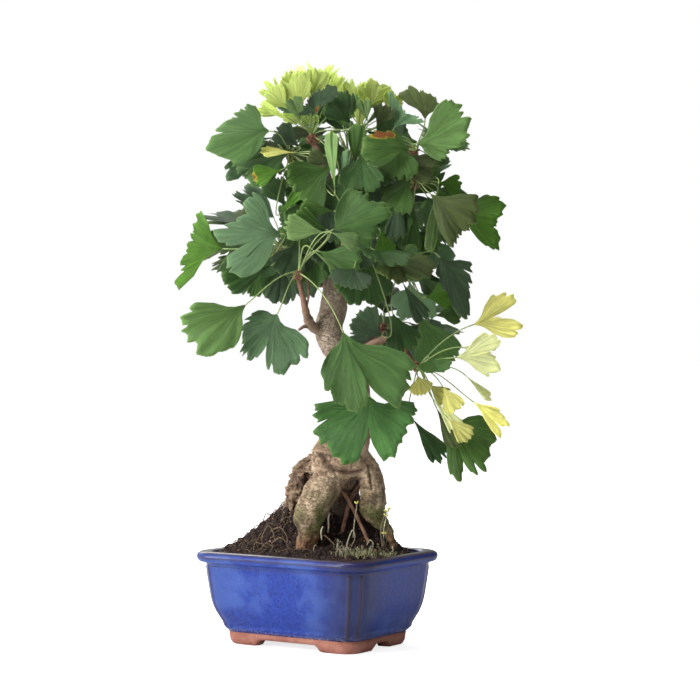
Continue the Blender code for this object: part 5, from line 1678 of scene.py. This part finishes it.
def clay_finish():
    made = Finish("bare_clay")
    patch = made.clouds(70.0, 4.0, 0.6)
    sand = made.dots(1300.0)
    tone = made.painted(
        made.blend(patch.ramp(0.3, 0.7), (0.27, 0.098, 0.068), (0.42, 0.185, 0.135)),
        ((1 - sand.ramp(0.1, 0.3)) * 0.5, (0.62, 0.38, 0.28)),
        ((1 - made.dots(700.0).ramp(0.05, 0.14)) * 0.6, (0.1, 0.045, 0.035)))
    return made.ready(tone, patch * 0.15 + 0.72, sand * -0.5 + patch, 0.0006, 0.7)


def arch_floor(x, y):
    """Height of the ring's underside: on the ground at the corners, lifted between them."""
    lifts = []
    for reach, half in ((x, RIM_HALF[0]), (y, RIM_HALF[1])):
        free = half - FOOT_OUTER[0][0] - FOOT_LENGTH - abs(reach)
        share = clamp(free / ARCH_ROUND)
        lifts.append(ARCH_RISE * math.sin(share * math.pi / 2) ** 0.6 if share else 0.0)
    if abs(y) > RIM_HALF[1] - FOOT_INNER - 1:
        return lifts[0] if abs(x) <= RIM_HALF[0] - FOOT_INNER else max(0.0, lifts[0], lifts[1])
    return lifts[1]


ring_rows = []
profile = [(FOOT_INNER, FOOT_TOP), (FOOT_INNER, 5.0), (FOOT_INNER, 0.4), (32.4, 0.0), (27.0, 0.0)]
profile += list(reversed(FOOT_OUTER))
for inset, z in profile:
    ring = round_box(inset, z, corner_at(inset) if inset < 31 else 8.0)[0]
    ring_rows.append([(x, y, max(z, min(arch_floor(x, y) + 0.15 * z, FOOT_TOP - 0.4)) if z < 6 else z)
                      for x, y, z in ring])
width = len(ring_rows[0])
points = [point for ring in ring_rows for point in ring]
faces = grid_faces(len(ring_rows) + 1, width, closed=True)
faces = [tuple(i % len(points) for i in face) for face in faces]
settle(one_piece("clay_foot", clay_finish(), points, faces), "bare_clay", "foot_ring")

# %% [markdown]
# ## Soil
# The soil is a dark gritty mix, heaped round the root legs. Its surface is a fine sheet of
# lumps over a closed root ball. Crumbs of bark, clay granules and a few white grains are
# scattered over it by Geometry Nodes.

# %% Lumpy soil and its crumbs
SOIL_EDGE = 71.0
SOIL_CLEAR = 0.35
SOIL_INSET = 12.9
SOIL_SINK = 0.6                  # how far the lumps' middle lies below the soil's height
CROWN_OF_SOIL = (7.0, 55.0)      # the dome's rise and reach
# Each mound's rise, its middle's x and d, and its reach of x and of d
MOUNDS = ((37.0, -13.0, 16.0, 40.0, 24.0), (27.0, 42.0, 12.0, 17.0, 16.0))
SOIL_STEP = 1.3
LUMPS = 3.2                      # how far lumps stand out


def soil_height(x, y):
    """Height of the soil over the pot's plan: a low dome and a mound behind each front leg."""
    front_x, front_d = turned(x, y, -TREE_TURN)
    dome_rise, dome_reach = CROWN_OF_SOIL
    height = SOIL_EDGE + dome_rise * math.exp(-(x * x + y * y) / dome_reach ** 2)
    for rise, at_x, at_d, reach_x, reach_d in MOUNDS:
        away = ((front_x - at_x) / reach_x) ** 2 + ((front_d - at_d) / reach_d) ** 2
        height += rise * math.exp(-away)
    return height


def soil_finish():
    made = Finish("dark_soil")
    clods = made.clouds(190.0, 5.0, 0.65)
    grit = made.dots(900.0)
    tone = made.blend(clods.ramp(0.35, 0.7), (0.008, 0.005, 0.005), (0.04, 0.024, 0.019))
    tone = made.blend((1 - grit.ramp(0.12, 0.3)) * clods.ramp(0.4, 0.6) * 0.6, tone, (0.16, 0.085, 0.055))
    return made.ready(tone, clods * 0.2 + 0.75, clods + grit * -0.4, 0.0022, 1.0)


def crumb_finish(name, low, high, rough=0.75):
    made = Finish(name, {"Roughness": rough, **MATT})
    patch = made.clouds(500.0, 3.0, 0.6)
    return made.ready(made.blend(patch.ramp(0.3, 0.7), low, high), None, patch, 0.0004, 0.8)


rows = []
for inset, z in INNER_WALL[:-1]:
    rows.append(round_box(inset + SOIL_CLEAR, z + SOIL_CLEAR, corner_at(inset))[0])
half_least = RIM_HALF[1] - SOIL_INSET - SOIL_CLEAR
count = int(half_least / SOIL_STEP)
for i in range(count):
    share = 1 - i / count
    ring = round_box(SOIL_INSET + SOIL_CLEAR, 0.0, corner_at(SOIL_INSET))[0]
    top = []
    for x, y, z in ring:
        x *= share
        y *= share
        front = Vector((x, y, 0.0))
        clods = fbm(front * 0.11, 4) * 0.9 + fbm(front * 0.4, 2) * 0.35
        lump = LUMPS * min(1.0, (1 - share) * 12) * clods
        top.append((x, y, soil_height(x, y) - SOIL_SINK + lump))
    rows.append(top)
width = len(rows[0])
points, faces = stacked(rows)
last = len(points) - width
points.append((0.0, 0.0, soil_height(0.0, 0.0) - SOIL_SINK))
faces += [(last + i, last + (i + 1) % width, len(points) - 1) for i in range(width)]
settle(one_piece("soil_bed", soil_finish(), points, faces), "soil", "soil")

# %% Scatter crumbs with Geometry Nodes
CRUMBS = (                       # name, shades, number to a square metre, radius in mm, shape, facets
    ("clods", (0.01, 0.006, 0.005), (0.045, 0.026, 0.019), 16000, (1.4, 3.4), (1.0, 0.8, 0.6), 3),
    ("dark_crumbs", (0.008, 0.005, 0.005), (0.038, 0.023, 0.018), 110000, (0.7, 1.9), (1.0, 0.8, 0.7), 2),
    ("bark_bits", (0.06, 0.024, 0.014), (0.2, 0.085, 0.045), 42000, (0.7, 2.0), (1.0, 0.35, 0.3), 2),
    ("fine_grit", (0.022, 0.013, 0.009), (0.1, 0.055, 0.035), 100000, (0.35, 0.9), (1.0, 0.8, 0.7), 1),
    ("clay_grains", (0.2, 0.095, 0.035), (0.42, 0.24, 0.1), 15000, (0.4, 1.1), (1.0, 0.9, 0.8), 2),
    ("white_grains", (0.42, 0.38, 0.33), (0.7, 0.66, 0.6), 7500, (0.3, 0.8), (1.0, 0.9, 0.8), 2),
)
CRUMB_SEED = 4
CRUMB_LUMPS = 0.35               # how far a crumb's facets move, as a share of its radius


def soil_sheet():
    """The soil's top alone, as the ground that crumbs are scattered on."""
    first = len(INNER_WALL[:-1]) + 2
    sheet = [p for ring in rows[first:] for p in ring]
    return make_piece("soil_top", in_row(sheet, 0.0), grid_faces(len(rows) - first, width, closed=True),
                      crumb_ground)


def node_tree(name, inputs, kinds, values, links):
    """A Geometry Nodes tree: what comes in, its nodes, the values of their sockets and its links."""
    tree = bpy.data.node_groups.new(name, "GeometryNodeTree")
    for key, kind in (("Geometry", "Geometry"),) + inputs:
        tree.interface.new_socket(key, in_out="INPUT", socket_type="NodeSocket" + kind)
    tree.interface.new_socket("Geometry", in_out="OUTPUT", socket_type="NodeSocketGeometry")
    nodes = {"in": tree.nodes.new("NodeGroupInput"), "out": tree.nodes.new("NodeGroupOutput")}
    for key, kind in kinds.items():
        nodes[key] = tree.nodes.new(kind if "Node" in kind else "GeometryNode" + kind)
        if kind in ("FunctionNodeRandomValue", "InputNamedAttribute"):
            nodes[key].data_type = "FLOAT_VECTOR"
    if "centre" in nodes:
        nodes["centre"].operation = "SUBTRACT"
        nodes["amount"].operation = "MULTIPLY"
    for key, socket, value in values:
        nodes[key].inputs[socket].default_value = value
    for source, out, target, into in links:
        tree.links.new(nodes[source].outputs[out], nodes[target].inputs[into])
    return tree


def grown_on(ground, tree, values, name):
    """The mesh that a tree makes on a ground, as an object; the ground is taken away."""
    layer = ground.modifiers.new(name, "NODES")
    layer.node_group = tree
    for item in tree.interface.items_tree:
        if item.in_out == "INPUT" and item.name in values:
            layer[item.identifier] = values[item.name]
    ground.data.update()
    shown = ground.evaluated_get(bpy.context.evaluated_depsgraph_get())
    mesh = bpy.data.meshes.new_from_object(shown)
    ground.modifiers.clear()
    bpy.data.objects.remove(ground)
    mesh.name = name
    return in_scene(name, mesh)


def scatter(name, low, high, density, radius, shape, facets, seed):
    """Points on the soil, a lumpy pebble at each, made real and given its finish."""
    tree = node_tree(
        "scatter",
        (("Density", "Float"), ("Seed", "Int"), ("Least", "Vector"), ("Most", "Vector"),
         ("Lumps", "Float")),
        {"spread": "DistributePointsOnFaces", "pebble": "MeshIcoSphere",
         "stand": "InstanceOnPoints", "size": "FunctionNodeRandomValue",
         "turn": "FunctionNodeRandomValue", "real": "RealizeInstances",
         "move": "SetPosition", "noise": "ShaderNodeTexNoise",
         "centre": "ShaderNodeVectorMath", "amount": "ShaderNodeVectorMath",
         "coat": "SetMaterial"},
        (("turn", "Max", (math.tau, math.tau, math.tau)), ("pebble", "Subdivisions", facets),
         ("pebble", "Radius", 1.0), ("noise", "Scale", 700.0), ("centre", 1, (0.5, 0.5, 0.5)),
         ("coat", "Material", crumb_finish(name, low, high).material)),
        (("in", "Geometry", "spread", "Mesh"), ("in", "Density", "spread", "Density"),
         ("in", "Seed", "spread", "Seed"), ("spread", "Points", "stand", "Points"),
         ("pebble", "Mesh", "stand", "Instance"), ("in", "Least", "size", "Min"),
         ("in", "Most", "size", "Max"), ("size", "Value", "stand", "Scale"),
         ("turn", "Value", "stand", "Rotation"), ("stand", "Instances", "real", "Geometry"),
         ("real", "Geometry", "move", "Geometry"), ("noise", "Color", "centre", 0),
         ("centre", "Vector", "amount", 0), ("in", "Lumps", "amount", 1),
         ("amount", "Vector", "move", "Offset"), ("move", "Geometry", "coat", "Geometry"),
         ("coat", "Geometry", "out", "Geometry")))
    values = {"Density": float(density), "Seed": seed, "Least": Vector(shape) * radius[0] * MM,
              "Most": Vector(shape) * radius[1] * MM, "Lumps": CRUMB_LUMPS * radius[1] * 2 * MM}
    settle(grown_on(soil_sheet(), tree, values, name), "soil")


crumb_ground = crumb_finish("crumb_ground", (0.02, 0.012, 0.009), (0.07, 0.045, 0.035))
for i, kind in enumerate(CRUMBS):
    scatter(*kind, CRUMB_SEED + i)

# %% [markdown]
# ## Bud scales
# Each spur ends in a rosette of red-brown scales that wrapped last year's bud. They stand in the
# spiral that buds follow, 137.5 degrees apart, and Geometry Nodes sets one scale on each point.

# %% Bud scales on every spur
SCALES_EACH = 22
SPIRAL = math.radians(137.5)
SCALE_SIZE = (1.2, 0.55, 1.9)    # half sizes in mm
SCALE_RUN = 6.5                  # length of spur that they cover


def scale_points():
    """Places on the spurs, and the turn of the scale that stands at each."""
    turn = Matrix.Rotation(TREE_TURN, 3, "Z")
    places = []
    leans = []
    for tip, ahead, radius in spurs:
        across = ahead.orthogonal().normalized()
        for k in range(SCALES_EACH):
            out = across.copy()
            out.rotate(Matrix.Rotation(k * SPIRAL, 3, ahead))
            share = k / SCALES_EACH
            along = ahead * (SCALE_RUN * (share - 0.8))
            places.append(tip + along + out * radius * (1.35 - 0.9 * share ** 3))
            stand = turn @ (ahead + out * (0.75 - 0.35 * share))
            leans += list(stand.to_track_quat("Z", "Y").to_euler())
    piece = make_piece("scale_points", in_row(places), [], crumb_ground)
    stored = piece.data.attributes.new("lean", "FLOAT_VECTOR", "POINT")
    stored.data.foreach_set("vector", leans)
    return piece


scale_finish = crumb_finish("bud_scales", (0.115, 0.038, 0.022), (0.36, 0.19, 0.11), 0.5)
scale_tree = node_tree(
    "bud_scales", (("Size", "Vector"),),
    {"ball": "MeshUVSphere", "lean": "InputNamedAttribute",
     "stand": "InstanceOnPoints", "real": "RealizeInstances",
     "coat": "SetMaterial"},
    (("ball", "Segments", 8), ("ball", "Rings", 6), ("lean", "Name", "lean"),
     ("coat", "Material", scale_finish.material)),
    (("in", "Geometry", "stand", "Points"), ("ball", "Mesh", "stand", "Instance"),
     ("lean", "Attribute", "stand", "Rotation"), ("in", "Size", "stand", "Scale"),
     ("stand", "Instances", "real", "Geometry"), ("real", "Geometry", "coat", "Geometry"),
     ("coat", "Geometry", "out", "Geometry")))
scales = grown_on(scale_points(), scale_tree, {"Size": Vector(SCALE_SIZE) * MM}, "bud_scales")
settle(scales, "bough_bark")

# %% [markdown]
# ## Rootlets, dead seedlings and moss
# Fine roots show on the heap and under the arch of the legs. Among them stand the curled,
# bleached stems of dead weeds, some with a yellow tip, and a little moss.

# %% Lay rootlets, seedlings and moss
STRAND_SEED = 12
STRAND_SIDES = 5
SPROUTS = (                      # single stems that stand out: lined-up stations with a radius
    ((28.7, -30, 84, 0.5), (29.5, -31, 96, 0.45), (31, -31, 106, 0.4), (31.5, -31, 111, 0.4)),
    ((52.5, -25, 75, 0.5), (50.5, -26, 88, 0.4), (52, -26, 97, 0.4), (55.5, -27, 105, 0.4)),
    ((53, -26, 75, 0.5), (53, -27, 90, 0.4), (55, -27, 100, 0.4), (57, -27, 106, 0.4)),
    ((54, -25, 75, 0.5), (56, -26, 86, 0.4), (57, -26, 96, 0.4), (54.5, -26, 101, 0.4)),
    ((52, -27, 76, 0.6), (53, -27, 84, 0.5), (53.5, -27, 87, 0.5)),
    ((23, -36, 70, 0.6), (24, -37, 80, 0.5), (28, -37, 90, 0.45), (30, -36, 84, 0.4),
     (27, -35, 77, 0.4)),
    ((43, -36, 72, 0.5), (44.5, -37, 79, 0.5), (42, -37, 82, 0.45), (39.5, -36, 78, 0.4)),
    ((-1.5, -40, 70, 0.6), (-3, -41, 75, 0.5), (-1.5, -41, 78, 0.5), (-0.5, -40, 77, 0.4)),
    ((8.4, -26, 88, 0.5), (9, -27, 94, 0.7), (8.7, -27, 99, 0.8), (9.8, -27, 104, 0.4)),
    ((3.5, -30, 82, 0.5), (3, -31, 89, 0.7), (4.5, -31, 93, 0.5)),
)
ROOTLETS = (
    ((-45, -34, 84, 0.5), (-40, -36, 93, 0.5), (-36, -37, 90, 0.5), (-34, -37, 82, 0.4)),
    ((-36, -38, 80, 0.6), (-30, -40, 84, 0.6), (-25, -40, 80, 0.5), (-23, -40, 75, 0.4)),
    ((-37, -30, 90, 0.5), (-30, -33, 92, 0.5), (-25, -34, 86, 0.4), (-24, -35, 80, 0.4)),
    ((-44, -20, 96, 0.4), (-41, -22, 103, 0.4), (-36, -22, 101, 0.4), (-33, -24, 95, 0.4)),
    ((-15.4, -9, 133, 0.6), (-12.5, -14, 128, 0.6), (-9.8, -16, 123, 0.5)),
    ((24, -9, 138, 0.6), (24.5, -12, 131, 0.5), (24.2, -11, 124, 0.5)),
    ((20, -9, 122, 0.5), (26, -12, 119, 0.6), (31, -9, 121, 0.5)),
    ((5.6, -32, 86, 0.4), (10, -33, 82, 0.4), (14, -34, 78, 0.35)),
)
ROOTLET_PATCHES = (              # how many, reach of x and of d, length, lift and radius
    (80, (-72, -8), (-44, 20), (12, 34), (0.5, 4.5), (0.18, 0.42)),
    (40, (-5, 66), (-52, 34), (8, 22), (0.4, 2.5), (0.18, 0.36)),
)
SPROUT_TIPS = (0, 1, 2, 3, 4)    # which sprouts still have a yellow tip
TIP_SPRAY = 3
SEEDLINGS = 44
SEEDLINGS_IN = ((14, 62), (-50, -20))               # their reach of x and of d
SEEDLING_TALL = (2, 8)
# Each patch of moss: its middle's x and d, its reach of x and of d, and how many blades
MOSS = ((32, -42, 12, 8, 260), (57, -32, 7, 9, 130), (40, -28, 22, 6, 60))
MOSS_GATHER = 0.55               # how close to its patch's middle the moss gathers


def ground(x, d):
    """Height of the soil at a place of the front frame."""
    return soil_height(*turned(x, d))


def in_the_pot(x, d, keep=3.0):
    across, back = turned(x, d)
    inset = SOIL_INSET + keep
    return abs(across) < RIM_HALF[0] - inset and abs(back) < RIM_HALF[1] - inset


def as_is(x, d, z):
    return Vector((x, d, z))


def strand(heap, stations, place=as_is):
    run = smooth_run(stations, 5, place)
    heap.add(*fine_tube(run, STRAND_SIDES), tone=dice.random())
    return run


def wander(dice, x, d, length, lift, radius):
    """Stations of a rootlet that creeps over the soil with a few low arches."""
    heading = dice.uniform(0, math.tau)
    stations = []
    steps = max(3, int(length / 4))
    for i in range(steps + 1):
        if not in_the_pot(x, d, 1.5):
            break
        arch = lift * abs(math.sin(i * 1.9)) * (0 < i < steps)
        stations.append((x, d, ground(x, d) - 0.4 + arch, radius * (1 - 0.5 * i / steps)))
        heading += dice.uniform(-0.7, 0.7)
        x += 4 * math.cos(heading)
        d += 4 * math.sin(heading)
    return stations


def strand_finish(name, low, high):
    made = Finish(name, {"Roughness": 0.7, **MATT})
    tone = made.blend(made.reading("tone"), low, high)
    tone = made.blend(made.clouds(400.0, 2.0).ramp(0.4, 0.7) * 0.5, tone, Vector(low) * 0.5)
    return made.ready(tone, None, made.clouds(1200.0, 2.0), 0.0003)


dice = random.Random(STRAND_SEED)
roots = Heap()
for stations in ROOTLETS:
    strand(roots, stations, seen)
for many, reach_x, reach_d, *reaches in ROOTLET_PATCHES:
    for _ in range(many):
        x = dice.uniform(*reach_x)
        d = dice.uniform(*reach_d)
        if in_the_pot(x, d):
            stations = wander(dice, x, d, *[dice.uniform(*reach) for reach in reaches])
            if len(stations) > 2:
                strand(roots, stations)
root_tones = strand_finish("rootlets", (0.035, 0.02, 0.013), (0.26, 0.18, 0.115))
settle(roots.made("rootlets", root_tones), "soil")

sprouts = Heap()
tips = Heap()
for i, stations in enumerate(SPROUTS):
    run = strand(sprouts, stations, seen)
    if i in SPROUT_TIPS:
        end = run[-1][0]
        for _ in range(TIP_SPRAY):
            out = strewn(dice, EVEN, (-0.6, 0.6), (0.1, 0.9)).normalized()
            line = [end + out * step for step in (0.0, 0.9, 1.8, 2.7)]
            tips.add(*fine_tube(zip(line, (0.3, 0.75, 0.7, 0.25)), 6), tone=dice.random())
for _ in range(SEEDLINGS):
    x, d = (dice.uniform(*reach) for reach in SEEDLINGS_IN)
    if in_the_pot(x, d):
        z = ground(x, d)
        tall = dice.uniform(*SEEDLING_TALL)
        lean = Vector((dice.uniform(-2, 2), dice.uniform(-2, 2), 0))
        hook = dice.uniform(0.2, 1.0) * tall
        stations = [(x, d, z - 1, 0.4), (x + lean.x * 0.5, d, z + tall * 0.6, 0.35),
                    (x + lean.x, d + lean.y, z + tall, 0.3),
                    (x + lean.x * 2, d + lean.y * 2, z + tall - 0.4 * hook, 0.28)]
        strand(sprouts, stations)
sprout_tones = strand_finish("pale_sprouts", (0.11, 0.08, 0.05), (0.56, 0.52, 0.36))
settle(sprouts.made("dead_sprouts", sprout_tones), "soil")
tip_tones = strand_finish("sprout_tips", (0.52, 0.5, 0.07), (0.8, 0.72, 0.22))
settle(tips.made("sprout_tips", tip_tones), "soil")

moss = Heap()
for at_x, at_d, wide, deep, many in MOSS:
    for _ in range(many):
        x = dice.gauss(at_x, wide * MOSS_GATHER)
        d = dice.gauss(at_d, deep * MOSS_GATHER)
        if not in_the_pot(x, d, 1.0):
            continue
        foot = Vector((x, d, ground(x, d) - 0.8))
        out = strewn(dice, EVEN, EVEN, (1.2, 3.0)).normalized()
        tall = dice.uniform(2.0, 4.8)
        bow = Vector((dice.uniform(-1, 1), dice.uniform(-1, 1), 0)) * 0.6
        line = [foot, foot + out * tall * 0.5, foot + out * tall + bow]
        moss.add(*fine_tube(zip(line, (0.28, 0.32, 0.1)), 4), tone=dice.random())
settle(moss.made("moss", strand_finish("moss", (0.09, 0.1, 0.03), (0.52, 0.51, 0.28))), "soil")
